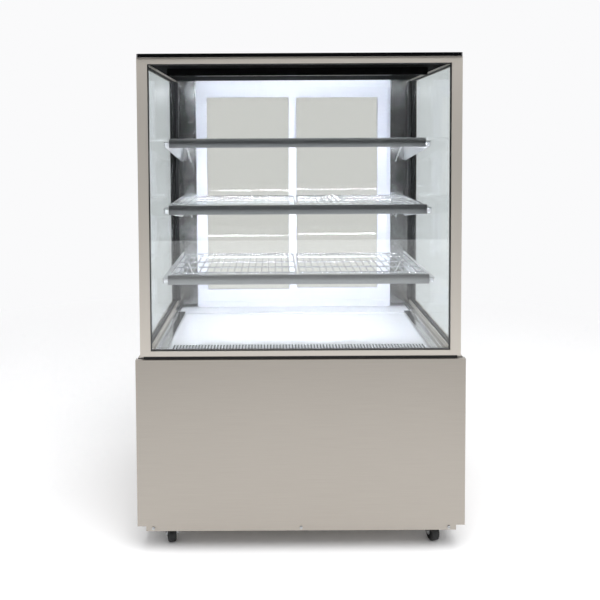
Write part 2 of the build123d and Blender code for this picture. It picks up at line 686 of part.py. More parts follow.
def fan_plate():
    """The plate across the well that holds the evaporator fans and their motors."""
    half = COIL_LENGTH / 2
    x, y, z = fan_places()[1]
    plate = slab(-half, half, y - SHROUD_THICKNESS / 2, y + SHROUD_THICKNESS / 2, WELL_BOTTOM + WELL_WALL,
                 z + FAN_RADIUS + 8)
    plate -= [along_y(*place, FAN_RADIUS + FAN_CLEARANCE, 4 * SHROUD_THICKNESS) for place in fan_places()]
    parts = []
    reach = FAN_RADIUS + 6
    for px, py, pz in fan_places():
        y0 = py + FAN_THICKNESS / 2 + FAN_SEAT
        parts.append(Pos(px, y0 + 9, pz) * Rot(90, 0, 0) * extrude(RegularPolygon(FAN_HUB, 12), 9, both=True))
        parts.append(slab(px - reach - 3, px + reach + 3, y0 + 6, y0 + 12, pz - 4, pz + 4))
        parts += [slab(px + s * reach - 3, px + s * reach + 3, py, y0 + 12, pz - 4, pz + 4) for s in (-1, 1)]
    return plate.fuse(*parts)


def coil(length, height, depth, fins, rows):
    """A finned coil centred on the origin: thin fins standing proud of the tube pack, and return bends."""
    pitch = (length - FIN) / (fins - 1)
    plates = [Pos(-length / 2 + FIN / 2 + i * pitch, 0, 0) * Box(FIN, depth, height) for i in range(fins)]
    pack = Box(length - FIN, depth - 2 * COIL_FIN_PROUD, height - 2 * COIL_FIN_PROUD)
    bends = []
    for i in range(rows):
        z = -height / 2 + height * (i + 0.5) / rows
        bends.append(Pos(0, 0, z) * Box(length + 16, depth / 2, COIL_BEND))
    return pack.fuse(*plates, *bends)


def compressor():
    """The hermetic compressor: a can with a stepped dome on a foot plate with four pads."""
    r, h = COMPRESSOR_RADIUS, COMPRESSOR_HEIGHT
    outline = [(0, 12), (r, 12)] + [(r - inward, h - down) for inward, down in COMPRESSOR_STEPS] + [(0, h)]
    can = revolve(make_face(Plane.XZ * Polyline(*outline, close=True)), Axis.Z)
    foot = Pos(0, 0, 10) * Box(2 * r + 20, 2 * r - 30, 8)
    pads = [Pos(sx * (r - 2), sy * (r - 28), 3.5) * Box(18, 18, 7) for sx in (-1, 1) for sy in (-1, 1)]
    return Pos(COMPRESSOR_X, COMPRESSOR_Y, PAN_BED + GAP) * can.fuse(foot, *pads)


def condenser_place():
    return LOUVRE_X, REAR - 75.0, PAN_BED + GAP + CONDENSER_HEIGHT / 2 + 4


def condenser():
    """The condenser coil behind the louvres, between two end plates that stand on the pan."""
    body = coil(CONDENSER_LENGTH, CONDENSER_HEIGHT, CONDENSER_DEPTH, CONDENSER_FINS, 5)
    ends = [Pos(s * (CONDENSER_LENGTH / 2 + 4), 0, -2) * Box(2, CONDENSER_DEPTH + 4, CONDENSER_HEIGHT + 4)
            for s in (-1, 1)]
    return Pos(*condenser_place()) * body.fuse(*ends)


def shroud_front():
    """The front face of the fan shroud."""
    return condenser_place()[1] - CONDENSER_DEPTH / 2 - GAP - 30


def condenser_shroud():
    """The fan shroud on the condenser, with a bar that carries the fan motor."""
    x, y, z = condenser_place()
    y0, y1 = shroud_front(), shroud_front() + 30
    wide, tall = CONDENSER_LENGTH / 2 - 10, CONDENSER_HEIGHT / 2 - 2
    shell = slab(x - wide, x + wide, y0, y1, z - tall, z + tall)
    shell -= slab(x - wide + 2, x + wide - 2, y0 + 2, y1, z - tall + 2, z + tall - 2)
    shell -= along_y(x, y0, z, CONDENSER_FAN_RADIUS + FAN_CLEARANCE, 12)
    bar_y = y0 - FAN_THICKNESS - 10
    bar = slab(x - wide, x + wide, bar_y, bar_y + 4, z - 8, z + 8)
    legs = [slab(x + s * (wide - 2) - 2, x + s * (wide - 2) + 2, bar_y, y0 + 2, z - 8, z + 8) for s in (-1, 1)]
    motor = Pos(x, bar_y - 14, z) * Rot(90, 0, 0) * extrude(RegularPolygon(30, 16), 15, both=True)
    nose_y = y0 + 2 - FAN_THICKNESS - FAN_SEAT
    nose = slab(x - 10, x + 10, bar_y, nose_y, z - 10, z + 10)
    return shell.fuse(bar, *legs, motor, nose)


def drip_tray():
    """The condensate tray on the floor of the base."""
    x0, x1 = TRAY_X
    y0, y1 = FRONT + TRAY_Y[0], FRONT + TRAY_Y[1]
    z0, z1 = PAN_BED + GAP, PAN_BED + GAP + TRAY_HEIGHT
    return slab(x0, x1, y0, y1, z0, z1) - slab(x0 + 2, x1 - 2, y0 + 2, y1 - 2, z0 + 2, z1)


def control_box():
    """The electrical box on the back of the rear panel, open towards the controls."""
    y1 = REAR - SHEET - GAP
    x0, x1 = CONTROL_X - 60, CONTROL_X + ROCKER_OFFSET + 30
    z0, z1 = CONTROL_Z - 45, CONTROL_Z + 45
    return slab(x0, x1, y1 - 45, y1, z0, z1) - slab(x0 + 2, x1 - 2, y1 - 43, y1, z0 + 2, z1 - 2)


# The controls

def button_places():
    z = CONTROL_Z - BEZEL_HEIGHT / 4
    return [(CONTROL_X + (i - (BUTTON_COUNT - 1) / 2) * BUTTON_PITCH, REAR + BEZEL_PROUD, z)
            for i in range(BUTTON_COUNT)]


def control_bezels():
    """The controller's face plate with three button holes and a display window, and the frame of the switch."""
    x, z = CONTROL_X, CONTROL_Z
    y0, y1 = REAR + GAP, REAR + BEZEL_PROUD
    plate = slab(x - BEZEL_LENGTH / 2, x + BEZEL_LENGTH / 2, y0, y1, z - BEZEL_HEIGHT / 2, z + BEZEL_HEIGHT / 2)
    inner = slab(x - BEZEL_LENGTH / 2 + 6, x + BEZEL_LENGTH / 2 - 6, y0 - 12, y0, z - BEZEL_HEIGHT / 2 + 5,
                 z + BEZEL_HEIGHT / 2 - 5)
    plate = plate.fuse(inner)
    plate -= slab(x - 24, x + 24, y1 - 1, y1, z, z + 13)
    plate -= [along_y(*place, BUTTON_RADIUS + BUTTON_CLEARANCE, 2 * BUTTON_LENGTH) for place in button_places()]
    x += ROCKER_OFFSET
    w, h, rim = ROCKER_WIDTH / 2, ROCKER_HEIGHT / 2, ROCKER_FRAME
    frame = slab(x - w - rim, x + w + rim, y0, y1, z - h - rim, z + h + rim)
    frame = frame.fuse(slab(x - w - GAP, x + w + GAP, y0 - 12, y0, z - h - GAP, z + h + GAP))
    frame -= slab(x - w + ROCKER_PLAY, x + w - ROCKER_PLAY, y0 - 10, y1, z - h + ROCKER_PLAY, z + h - ROCKER_PLAY)
    return plate, frame


def button(place):
    """One round button with a bevelled cap."""
    x, y, z = place
    cap = Rot(-90, 0, 0) * Cylinder(BUTTON_RADIUS, BUTTON_LENGTH)
    cap = chamfer(cap.edges().filter_by(GeomType.CIRCLE).sort_by(Axis.Y)[-1], 0.7)
    return Pos(x, y + BUTTON_PROUD - BUTTON_LENGTH / 2, z) * cap


def rocker():
    """The light switch, tipped about a horizontal axis."""
    x, z = CONTROL_X + ROCKER_OFFSET, CONTROL_Z
    half_w, half_h = ROCKER_WIDTH / 2 - 2 * ROCKER_PLAY, ROCKER_HEIGHT / 2 - 3 * ROCKER_PLAY
    y1 = REAR + BEZEL_PROUD
    outline = [(y1 - 6, z - half_h), (y1 + 2.2, z - half_h), (y1 + 0.4, z), (y1 + 0.4 + 0.6, z + half_h),
               (y1 - 6, z + half_h)]
    return prism_x(outline, x - half_w, x + half_w)


def cable_gland():
    """The flex inlet: a hexagon collar with a clamping nut and a through hole."""
    x, y, z = gland_place()
    collar = Pos(x, y + GAP, z) * Rot(-90, 0, 0) * extrude(RegularPolygon(GLAND_RADIUS + 2, 6), 5)
    nut = Pos(x, y + GAP + 5, z) * Rot(-90, 0, 0) * extrude(RegularPolygon(GLAND_RADIUS - 1, 10), GLAND_LENGTH - 5)
    stem = Pos(x, y - 6, z) * Rot(90, 0, 0) * extrude(RegularPolygon(GLAND_RADIUS - 2.4, 10), 7, both=True)
    return collar.fuse(nut, stem) - along_y(x, y, z, 4, 60)


# The castors

def castor_places():
    """The four swivel axes with the angle each castor stands at."""
    x, y0, y1 = WIDTH / 2 - CASTOR_INSET, FRONT + CASTOR_Y, BACK - CASTOR_Y
    return {"front_right": (x, y0), "front_left": (-x, y0), "back_right": (x, y1), "back_left": (-x, y1)}


def castor_plate():
    """The fixed top plate with its four bolt heads and the king pin."""
    z1 = PAN_LEVEL - GAP
    z0 = z1 - PLATE_TIN
    plate = Pos(0, 0, z1 - PLATE_TIN / 2) * Box(PLATE_LENGTH, PLATE_LENGTH, PLATE_TIN)
    plate = chamfer(plate.edges().filter_by(Axis.Z), PLATE_CORNER)
    bolt = extrude(RegularPolygon(PLATE_BOLT, 6), PLATE_BOLT_HEIGHT)
    reach = PLATE_PITCH / 2
    bolts = [Pos(sx * reach, sy * reach, z0 - PLATE_BOLT_HEIGHT) * bolt for sx in (-1, 1) for sy in (-1, 1)]
    length = GAP + FORK_HEAD_HEIGHT + FORK_TIN + 1.5
    pin = Pos(0, 0, z0 - length / 2) * Cylinder(KING_PIN_RADIUS, length)
    return plate.fuse(pin, *bolts)


def castor_fork():
    """The swivelling fork: a bored head, a crown, two legs and the riveted axle between their feet."""
    z_head = PAN_LEVEL - GAP - PLATE_TIN - GAP
    head = Pos(0, 0, z_head - FORK_HEAD_HEIGHT) * extrude(RegularPolygon(FORK_HEAD_RADIUS, 16), FORK_HEAD_HEIGHT)
    z1 = z_head - FORK_HEAD_HEIGHT
    half = WHEEL_WIDTH / 2 + FORK_GAP
    crown = slab(-half - FORK_TIN, half + FORK_TIN, -FORK_HEAD_RADIUS, FORK_HEAD_RADIUS, z1 - FORK_TIN, z1)
    outline = [(FORK_HEAD_RADIUS, z1), (-BRAKE_PIVOT_Y - 5, z1), (-BRAKE_PIVOT_Y - 5, BRAKE_PIVOT_Z - 5),
               (-TRAIL - 8, WHEEL_RADIUS - 3), (-TRAIL - 4, WHEEL_RADIUS - 8), (-TRAIL + 4, WHEEL_RADIUS - 8),
               (-TRAIL + 9, WHEEL_RADIUS - 2), (FORK_HEAD_RADIUS, z1 - 8)]
    legs = [prism_x(outline, half, half + FORK_TIN), prism_x(outline, -half - FORK_TIN, -half)]
    fork = head.fuse(crown, *legs)
    return fork - Pos(0, 0, z_head) * Cylinder(KING_PIN_RADIUS + RUN_CLEARANCE, 40)


def castor_axle():
    """The axle between the fork legs, with a hexagon head and nut outside them."""
    half = WHEEL_WIDTH / 2 + FORK_GAP
    shaft = Cylinder(AXLE_RADIUS, 2 * half + FORK_TIN)
    heads = [Pos(0, 0, s * (half + FORK_TIN + 0.5)) * extrude(RegularPolygon(6.5, 6), 2, both=True)
             for s in (-1, 1)]
    return Pos(0, -TRAIL, WHEEL_RADIUS) * Rot(0, 90, 0) * shaft.fuse(*heads)


def castor_wheel():
    """The wheel, turned from one profile: a bevelled tread, dished sides and a hub bored for the axle."""
    w, r = WHEEL_WIDTH / 2, WHEEL_RADIUS
    bore = AXLE_RADIUS + RUN_CLEARANCE
    side = [(bore, w - WHEEL_DISH), (r - WHEEL_ROUND, w), (r, w - WHEEL_ROUND)]
    outline = side + [(x, -z) for x, z in reversed(side)]
    wheel = revolve(make_face(Plane.XZ * Polyline(*outline, close=True)), Axis.Z)
    return Pos(0, -TRAIL, WHEEL_RADIUS) * Rot(0, 90, 0) * wheel


def brake_pin():
    """The pin of the brake pedal, riveted across the fork."""
    half = WHEEL_WIDTH / 2 + FORK_GAP
    return Pos(0, -BRAKE_PIVOT_Y, BRAKE_PIVOT_Z) * Rot(0, 90, 0) * Cylinder(BRAKE_PIN, 2 * half + FORK_TIN)


def castor_brake():
    """The brake pedal: a knuckle round the pin and a tread plate that reaches forward."""
    half = WHEEL_WIDTH / 2 - 1
    y, z = -BRAKE_PIVOT_Y, BRAKE_PIVOT_Z
    knuckle = Pos(0, y, z) * Rot(0, 90, 0) * extrude(RegularPolygon(BRAKE_KNUCKLE, 8), half, both=True)
    outline = [(y, z + 2.5), (y - BRAKE_REACH, z + 1), (y - BRAKE_REACH - 3, z - 3), (y - BRAKE_REACH, z - 4),
               (y - BRAKE_REACH + 2, z - 1.5), (y, z - 1)]
    pedal = knuckle.fuse(prism_x(outline, -half, half))
    return pedal - Pos(0, y, z) * Rot(0, 90, 0) * Cylinder(BRAKE_PIN + RUN_CLEARANCE, 80)


def build_base():
    save("base_pan", base_pan())
    save("front_panel", front_panel())
    panel = side_panel()
    save("side_panels", panel, mirrored(panel))
    save("rear_panel", rear_panel())
    save("panel_screws", *screws())
    save("insulated_well", well())


def build_case():
    save("front_frame", front_frame())
    outer, inner, ring = front_glazing()
    save("front_glass", outer, inner)
    side_outer, side_inner, side_ring = side_glazing()
    save("side_glass", side_outer, side_inner, mirrored(side_outer), mirrored(side_inner))
    save("glazing_spacers", ring, side_ring, mirrored(side_ring))
    low, high = side_rails()
    save("side_rails", low, high, mirrored(low), mirrored(high))
    post = rear_post()
    save("rear_posts", post, mirrored(post))
    seal = post_gasket()
    save("post_gaskets", seal, mirrored(seal))
    save("top_panel", top_panel())
    save("roof_panel", roof_panel())


def build_deck():
    save("deck_panel", deck())
    save("air_grille", air_grille())
    strip = deck_channel()
    save("deck_channels", strip, mirrored(strip))
    save("rear_ledge", rear_ledge())


def build_shelves():
    leads, edges, lights, arms = [], [], [], []
    for name, front, level in zip(("upper", "middle", "lower"), SHELF_FRONTS, SHELF_LEVELS):
        edges.append(fascia(front, level, FASCIA_HEIGHT))
        lights.append(light_bar(front, level - FASCIA_HEIGHT))
        arm = bracket(front, level)
        arms += [arm, mirrored(arm)]
        grid, bars = rack(front, level)
        save(f"shelf_{name}_racks", grid, mirrored(grid), *bars, *[mirrored(bar) for bar in bars])
        lead = light_lead(front, level)
        leads += [lead, mirrored(lead)]
    level = ROOF_UNDER - GAP
    save("ceiling_fascia", fascia(CEILING_LIGHT_FRONT, level, CEILING_LIGHT_HEIGHT))
    lights.append(light_bar(CEILING_LIGHT_FRONT, level - CEILING_LIGHT_HEIGHT))
    save("shelf_fascias", *edges)
    save("shelf_lights", *lights)
    save("shelf_brackets", *arms)
    save("shelf_light_leads", *leads)


def build_doors():
    save("door_frame", door_frame())
    inner, outer = door_fronts()
    frame, glass = door_leaf(-OPENING_SIDE - JAMB_POCKET, inner, True)
    save("door_left_frame", frame)
    save("door_left_glass", glass)
    frame, glass = door_leaf(OPENING_SIDE - DOOR_WIDTH, outer, False)
    save("door_right_frame", frame)
    save("door_right_glass", glass)


def build_machinery():
    save("evaporator_fan_plate", fan_plate())
    for side, place in zip(("left", "right"), fan_places()):
        save(f"evaporator_fan_{side}", Pos(*place) * fan_rotor(FAN_RADIUS))
    z = WELL_BOTTOM + WELL_WALL + COIL_HEIGHT / 2 + GAP
    save("evaporator_coil", Pos(0, 20, z) * coil(COIL_LENGTH, COIL_HEIGHT, COIL_DEPTH, COIL_FINS, 3))
    save("compressor", compressor())
    save("condenser_coil", condenser())
    save("condenser_shroud", condenser_shroud())
    x, y, z = condenser_place()
    save("condenser_fan", Pos(x, shroud_front() - FAN_THICKNESS / 2 + 2, z) * fan_rotor(CONDENSER_FAN_RADIUS))
    save("drip_tray", drip_tray())
    save("control_box", control_box())


def build_controls():
    save("control_bezels", *control_bezels())
    for name, place in zip(("set", "down", "up"), button_places()):
        save(f"button_{name}", button(place))
    save("light_switch", rocker())
    save("cable_gland", cable_gland())


def build_castors():
    plates = []
    for name, (x, y) in castor_places().items():
        plates.append(Pos(x, y, 0) * castor_plate())
        turn = Pos(x, y, 0) * Rot(0, 0, CASTOR_TURN)
        fork = castor_fork().fuse(castor_axle())
        if name.startswith("front"):
            fork = fork.fuse(brake_pin())
            save(f"castor_brake_{name}", turn * castor_brake())
        save(f"castor_fork_{name}", turn * fork)
        save(f"castor_wheel_{name}", turn * castor_wheel())
    save("castor_plates", *plates)


os.makedirs("parts", exist_ok=True)
build_base()
build_case()
build_deck()
build_shelves()
build_doors()
build_machinery()
build_controls()
build_castors()
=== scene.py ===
import json
import math

import bpy
import numpy as np
from bpy.props import FloatProperty, FloatVectorProperty, IntProperty, PointerProperty, StringProperty
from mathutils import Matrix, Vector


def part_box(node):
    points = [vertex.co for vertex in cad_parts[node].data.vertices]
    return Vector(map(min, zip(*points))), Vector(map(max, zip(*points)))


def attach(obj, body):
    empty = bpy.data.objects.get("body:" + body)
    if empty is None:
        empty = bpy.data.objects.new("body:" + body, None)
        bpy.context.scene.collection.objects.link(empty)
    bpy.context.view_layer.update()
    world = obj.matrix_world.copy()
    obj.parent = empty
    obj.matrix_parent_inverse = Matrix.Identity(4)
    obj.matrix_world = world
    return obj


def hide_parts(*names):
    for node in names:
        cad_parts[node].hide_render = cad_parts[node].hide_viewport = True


bl_info = {
    "name": "Refrigerated food display",
    "version": (1, 0, 0),
    "blender": (4, 5, 0),
    "location": "3D View > Sidebar > Display",
    "description": "Dresses the packed model of a glazed refrigerated food display and sets its stage",
    "category": "Object",
}

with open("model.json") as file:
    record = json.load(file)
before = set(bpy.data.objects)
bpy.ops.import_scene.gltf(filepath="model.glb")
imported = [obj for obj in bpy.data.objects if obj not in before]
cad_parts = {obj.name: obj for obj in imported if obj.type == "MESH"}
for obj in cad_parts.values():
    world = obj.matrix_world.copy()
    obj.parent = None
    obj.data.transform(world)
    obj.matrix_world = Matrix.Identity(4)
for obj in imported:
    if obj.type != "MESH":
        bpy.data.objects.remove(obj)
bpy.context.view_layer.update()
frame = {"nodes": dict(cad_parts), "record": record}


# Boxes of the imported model, in metres

def node_box(name):
    """The lowest and highest corner of a CAD node as two arrays."""
    low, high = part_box(name)
    return np.array(low), np.array(high)


# Mesh helpers

def mesh_object(name, points, faces, material, body="cabinet"):
    """One mesh from an array of points and a list of face arrays, all of them riding on one body."""
    mesh = bpy.data.meshes.new(name)
    mesh.from_pydata(np.asarray(points, dtype=float).tolist(), [], faces)
    mesh.update()
    mesh.materials.append(material)
    made = bpy.data.objects.new(name, mesh)
    bpy.context.scene.collection.objects.link(made)
    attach(made, body)
    return made


def grid_faces(rows, columns, close_rows=False, close_columns=False, flip=False):
    """Quads between the points of a grid, numbered row by row; either way can be closed."""
    last_row = rows if close_rows else rows - 1
    last_column = columns if close_columns else columns - 1
    r, c = np.meshgrid(np.arange(last_row), np.arange(last_column), indexing="ij")
    r2, c2 = (r + 1) % rows, (c + 1) % columns
    quads = np.stack([r * columns + c, r * columns + c2, r2 * columns + c2, r2 * columns + c], axis=-1)
    quads = quads.reshape(-1, 4)
    return quads[:, ::-1] if flip else quads


def tube_points(path, radius, sides):
    """A round tube along a path of points: each ring is the circle radius * (cos t, sin t) in the plane
    across the path."""
    path = np.asarray(path, dtype=float)
    along = np.gradient(path, axis=0)
    along /= np.linalg.norm(along, axis=1)[:, None]
    helper = np.where(np.abs(along[:, 2:3]) > 0.9, [[1.0, 0.0, 0.0]], [[0.0, 0.0, 1.0]])
    side = np.cross(along, helper)
    side /= np.linalg.norm(side, axis=1)[:, None]
    up = np.cross(side, along)
    t = np.linspace(0, 2 * np.pi, sides, endpoint=False)
    ring = np.cos(t)[None, :, None] * side[:, None, :] + np.sin(t)[None, :, None] * up[:, None, :]
    return (path[:, None, :] + radius * ring).reshape(-1, 3)


class Soup:
    """Collects many small surfaces into one mesh: points and faces, each shape's faces offset by what came
    before."""

    def __init__(self):
        self.points, self.faces, self.count = [], [], 0

    def add(self, points, faces):
        points = np.asarray(points, dtype=float)
        self.points.append(points)
        self.faces += [(np.asarray(face) + self.count).tolist() for face in faces]
        self.count += len(points)

    def tube(self, path, radius, sides=8):
        """A capped tube along a path."""
        rows = len(path)
        points = tube_points(path, radius, sides)
        faces = list(grid_faces(rows, sides, close_columns=True, flip=True))
        faces.append(np.arange(sides))
        faces.append((rows - 1) * sides + np.arange(sides)[::-1])
        self.add(points, faces)

    def block(self, low, high):
        """A plain block between two corners, its six faces outwards."""
        x, y, z = np.array([low, high], dtype=float).T
        points = [(x[i], y[j], z[k]) for i in (0, 1) for j in (0, 1) for k in (0, 1)]
        self.add(points, [(0, 1, 3, 2), (4, 6, 7, 5), (0, 4, 5, 1), (2, 3, 7, 6), (0, 2, 6, 4), (1, 5, 7, 3)])

    def lathe(self, profile, centre, axis, sides=24):
        """A closed turned shape: each (along, radius) point of the profile goes once round a level axis
        through the centre, as along * axis + radius * (cos t * across + sin t * up)."""
        profile = np.asarray(profile, dtype=float)
        axis = np.asarray(axis, dtype=float)
        across = np.cross((0.0, 0.0, 1.0), axis)
        t = np.linspace(0, 2 * np.pi, sides, endpoint=False)
        along, radius = profile[:, 0, None, None], profile[:, 1, None, None]
        ring = np.cos(t)[:, None] * across + np.sin(t)[:, None] * np.array((0.0, 0.0, 1.0))
        points = (along * axis + radius * ring[None]).reshape(-1, 3) + np.asarray(centre)
        self.add(points, list(grid_faces(len(profile), sides, close_rows=True, close_columns=True)))

    def sweep(self, outline, x0, x1):
        """A (y, z) outline, anticlockwise seen from +X, carried from x0 to x1."""
        outline = np.asarray(outline, dtype=float)
        n = len(outline)
        points = np.concatenate([np.column_stack([np.full(n, x), outline]) for x in (x0, x1)])
        faces = list(grid_faces(2, n, close_columns=True)) + [np.arange(n)[::-1], n + np.arange(n)]
        self.add(points, faces)

    def made(self, name, material, body="cabinet", slot=None):
        return mesh_object(name, np.concatenate(self.points), self.faces, material, body)


def finish_normals(made, sharp=40.0):
    """Shades smooth except across edges sharper than an angle in degrees."""
    made.data.polygons.foreach_set("use_smooth", np.ones(len(made.data.polygons), dtype=bool))
    made.data.set_sharp_from_angle(angle=math.radians(sharp))
    return made


# Materials

def linear(hex_value):
    """An sRGB hex colour as linear RGBA."""
    value = hex_value.lstrip("#")
    parts = np.array([int(value[i:i + 2], 16) for i in (0, 2, 4)]) / 255
    parts = np.where(parts <= 0.04045, parts / 12.92, ((parts + 0.055) / 1.055) ** 2.4)
    return (*parts.tolist(), 1.0)


def add_node(material, kind, place, settings=None, inputs=None, links=None):
    """Adds one node: its place, its settings, its constant inputs and its links from other nodes' outputs."""
    tree = material.node_tree
    node = tree.nodes.new(kind)
    node.location = place
    for key, value in (settings or {}).items():
        setattr(node, key, value)
    for key, value in (inputs or {}).items():
        node.inputs[key].default_value = value
    for key, (source, output) in (links or {}).items():
        tree.links.new(source.outputs[output], node.inputs[key])
    return node


def new_material(name):
    """An empty node material."""
    made = bpy.data.materials.new(name)
    made.use_nodes = True
    made.node_tree.nodes.clear()
    return made


def surface(material, shader):
    """Links a shader to the material's output."""
    add_node(material, "ShaderNodeOutputMaterial", (600, 0), links={"Surface": (shader, 0)})
    return material


def coordinates(material, scale, turn=(0.0, 0.0, 0.0)):
    """Object coordinates in metres through a Mapping node."""
    source = add_node(material, "ShaderNodeTexCoord", (-1000, 0))
    return add_node(material, "ShaderNodeMapping", (-800, 0), inputs={"Scale": scale, "Rotation": turn},
                    links={"Vector": (source, "Object")})


def brushed_stainless_sheet():
    """Grade 304 stainless sheet with a fine lengthwise grain: broad soft reflections, streaked along X, and
    faint changes of roughness where hands and cloths have polished it."""
    m = new_material("brushed stainless sheet")
    # Grain lines every 0.4 mm would vanish at this size: they are drawn about 1.7 mm apart and 125 mm long.
    grain_at = coordinates(m, (8.0, 600.0, 600.0))
    grain = add_node(m, "ShaderNodeTexNoise", (-600, 100), links={"Vector": (grain_at, 0)},
                     inputs={"Scale": 1.0, "Detail": 3.0, "Roughness": 0.6})
    cloud_at = coordinates(m, (3.0, 3.0, 3.0))
    cloud = add_node(m, "ShaderNodeTexNoise", (-600, -200), inputs={"Scale": 1.0, "Detail": 2.0},
                     links={"Vector": (cloud_at, 0)})
    mixed = add_node(m, "ShaderNodeMix", (-400, 0), inputs={"Factor": 0.5},
                     links={"A": (grain, "Fac"), "B": (cloud, "Fac")})
    rough = add_node(m, "ShaderNodeMapRange", (-200, 0), inputs={"To Min": 0.36, "To Max": 0.42},
                     links={"Value": (mixed, 0)})
    tone = add_node(m, "ShaderNodeValToRGB", (-200, 250), links={"Fac": (grain, "Fac")})
    tone.color_ramp.elements[0].position, tone.color_ramp.elements[1].position = 0.3, 0.7
    tone.color_ramp.elements[0].color = linear("#A9A39B")
    tone.color_ramp.elements[1].color = linear("#ADA79F")
    bump = add_node(m, "ShaderNodeBump", (-200, -300), inputs={"Strength": 0.015, "Distance": 0.0002},
                    links={"Height": (grain, "Fac")})
    shader = add_node(m, "ShaderNodeBsdfPrincipled", (200, 0), inputs={"Metallic": 1.0},
                      links={"Base Color": (tone, 0), "Roughness": (rough, 0), "Normal": (bump, 0)})
    return surface(m, shader)


def polished_stainless(name, hex_value, smoothest, roughest, grain=(20.0, 400.0, 400.0)):
    """Polished stainless strip, from near mirror to satin, with faint long scratches that vary the gloss."""
    m = new_material(name)
    at = coordinates(m, grain)
    scratches = add_node(m, "ShaderNodeTexNoise", (-600, 0), inputs={"Scale": 1.0, "Detail": 2.0},
                         links={"Vector": (at, 0)})
    rough = add_node(m, "ShaderNodeMapRange", (-200, 0), inputs={"To Min": smoothest, "To Max": roughest},
                     links={"Value": (scratches, "Fac")})
    shader = add_node(m, "ShaderNodeBsdfPrincipled", (200, 0), links={"Roughness": (rough, 0)},
                      inputs={"Metallic": 1.0, "Base Color": linear(hex_value)})
    return surface(m, shader)


def bright_zinc():
    """Zinc-plated pressed steel of the castors: grey, a little blotchy, half matt."""
    m = new_material("bright zinc plating")
    at = coordinates(m, (120.0, 120.0, 120.0))
    blotch = add_node(m, "ShaderNodeTexNoise", (-600, 0), inputs={"Scale": 1.0, "Detail": 3.0},
                      links={"Vector": (at, 0)})
    rough = add_node(m, "ShaderNodeMapRange", (-200, 0), inputs={"To Min": 0.22, "To Max": 0.42},
                     links={"Value": (blotch, "Fac")})
    tone = add_node(m, "ShaderNodeValToRGB", (-200, 250), links={"Fac": (blotch, "Fac")})
    tone.color_ramp.elements[0].color = linear("#A8AAAB")
    tone.color_ramp.elements[1].color = linear("#C4C6C8")
    shader = add_node(m, "ShaderNodeBsdfPrincipled", (200, 0), inputs={"Metallic": 1.0},
                      links={"Base Color": (tone, 0), "Roughness": (rough, 0)})
    return surface(m, shader)


def galvanised_sheet():
    """Hot-dip galvanised sheet: pale grey with a spangle of crystals 6 to 10 mm across."""
    m = new_material("galvanised sheet")
    at = coordinates(m, (120.0, 120.0, 120.0))
    spangle = add_node(m, "ShaderNodeTexVoronoi", (-600, 0), inputs={"Scale": 1.0}, links={"Vector": (at, 0)})
    rough = add_node(m, "ShaderNodeMapRange", (-200, 0), inputs={"To Min": 0.36, "To Max": 0.52},
                     links={"Value": (spangle, "Color")})
    tone = add_node(m, "ShaderNodeValToRGB", (-200, 250), links={"Fac": (spangle, "Color")})
    tone.color_ramp.elements[0].color = linear("#A3A6A8")
    tone.color_ramp.elements[1].color = linear("#B7BABB")
    shader = add_node(m, "ShaderNodeBsdfPrincipled", (200, 0), inputs={"Metallic": 0.9},
                      links={"Base Color": (tone, 0), "Roughness": (rough, 0)})
    return surface(m, shader)


def coated(name, dark, light, rough_low, rough_high, scale, bump_strength, metallic=0.0, coat=0.0, gloss=0.5):
    """A painted, moulded or lacquered surface: one noise pattern varies tone, roughness and a fine relief."""
    m = new_material(name)
    at = coordinates(m, (scale, scale, scale))
    grain = add_node(m, "ShaderNodeTexNoise", (-600, 0), links={"Vector": (at, 0)},
                     inputs={"Scale": 1.0, "Detail": 4.0, "Roughness": 0.55})
    rough = add_node(m, "ShaderNodeMapRange", (-200, 0), inputs={"To Min": rough_low, "To Max": rough_high},
                     links={"Value": (grain, "Fac")})
    tone = add_node(m, "ShaderNodeValToRGB", (-200, 250), links={"Fac": (grain, "Fac")})
    tone.color_ramp.elements[0].color = linear(dark)
    tone.color_ramp.elements[1].color = linear(light)
    bump = add_node(m, "ShaderNodeBump", (-200, -300), inputs={"Strength": bump_strength, "Distance": 0.0003},
                    links={"Height": (grain, "Fac")})
    shader = add_node(m, "ShaderNodeBsdfPrincipled", (200, 0),
                      inputs={"Metallic": metallic, "Coat Weight": coat, "Specular IOR Level": gloss},
                      links={"Base Color": (tone, 0), "Roughness": (rough, 0), "Normal": (bump, 0)})
    return surface(m, shader)


GLASS_INDEX = 1.45


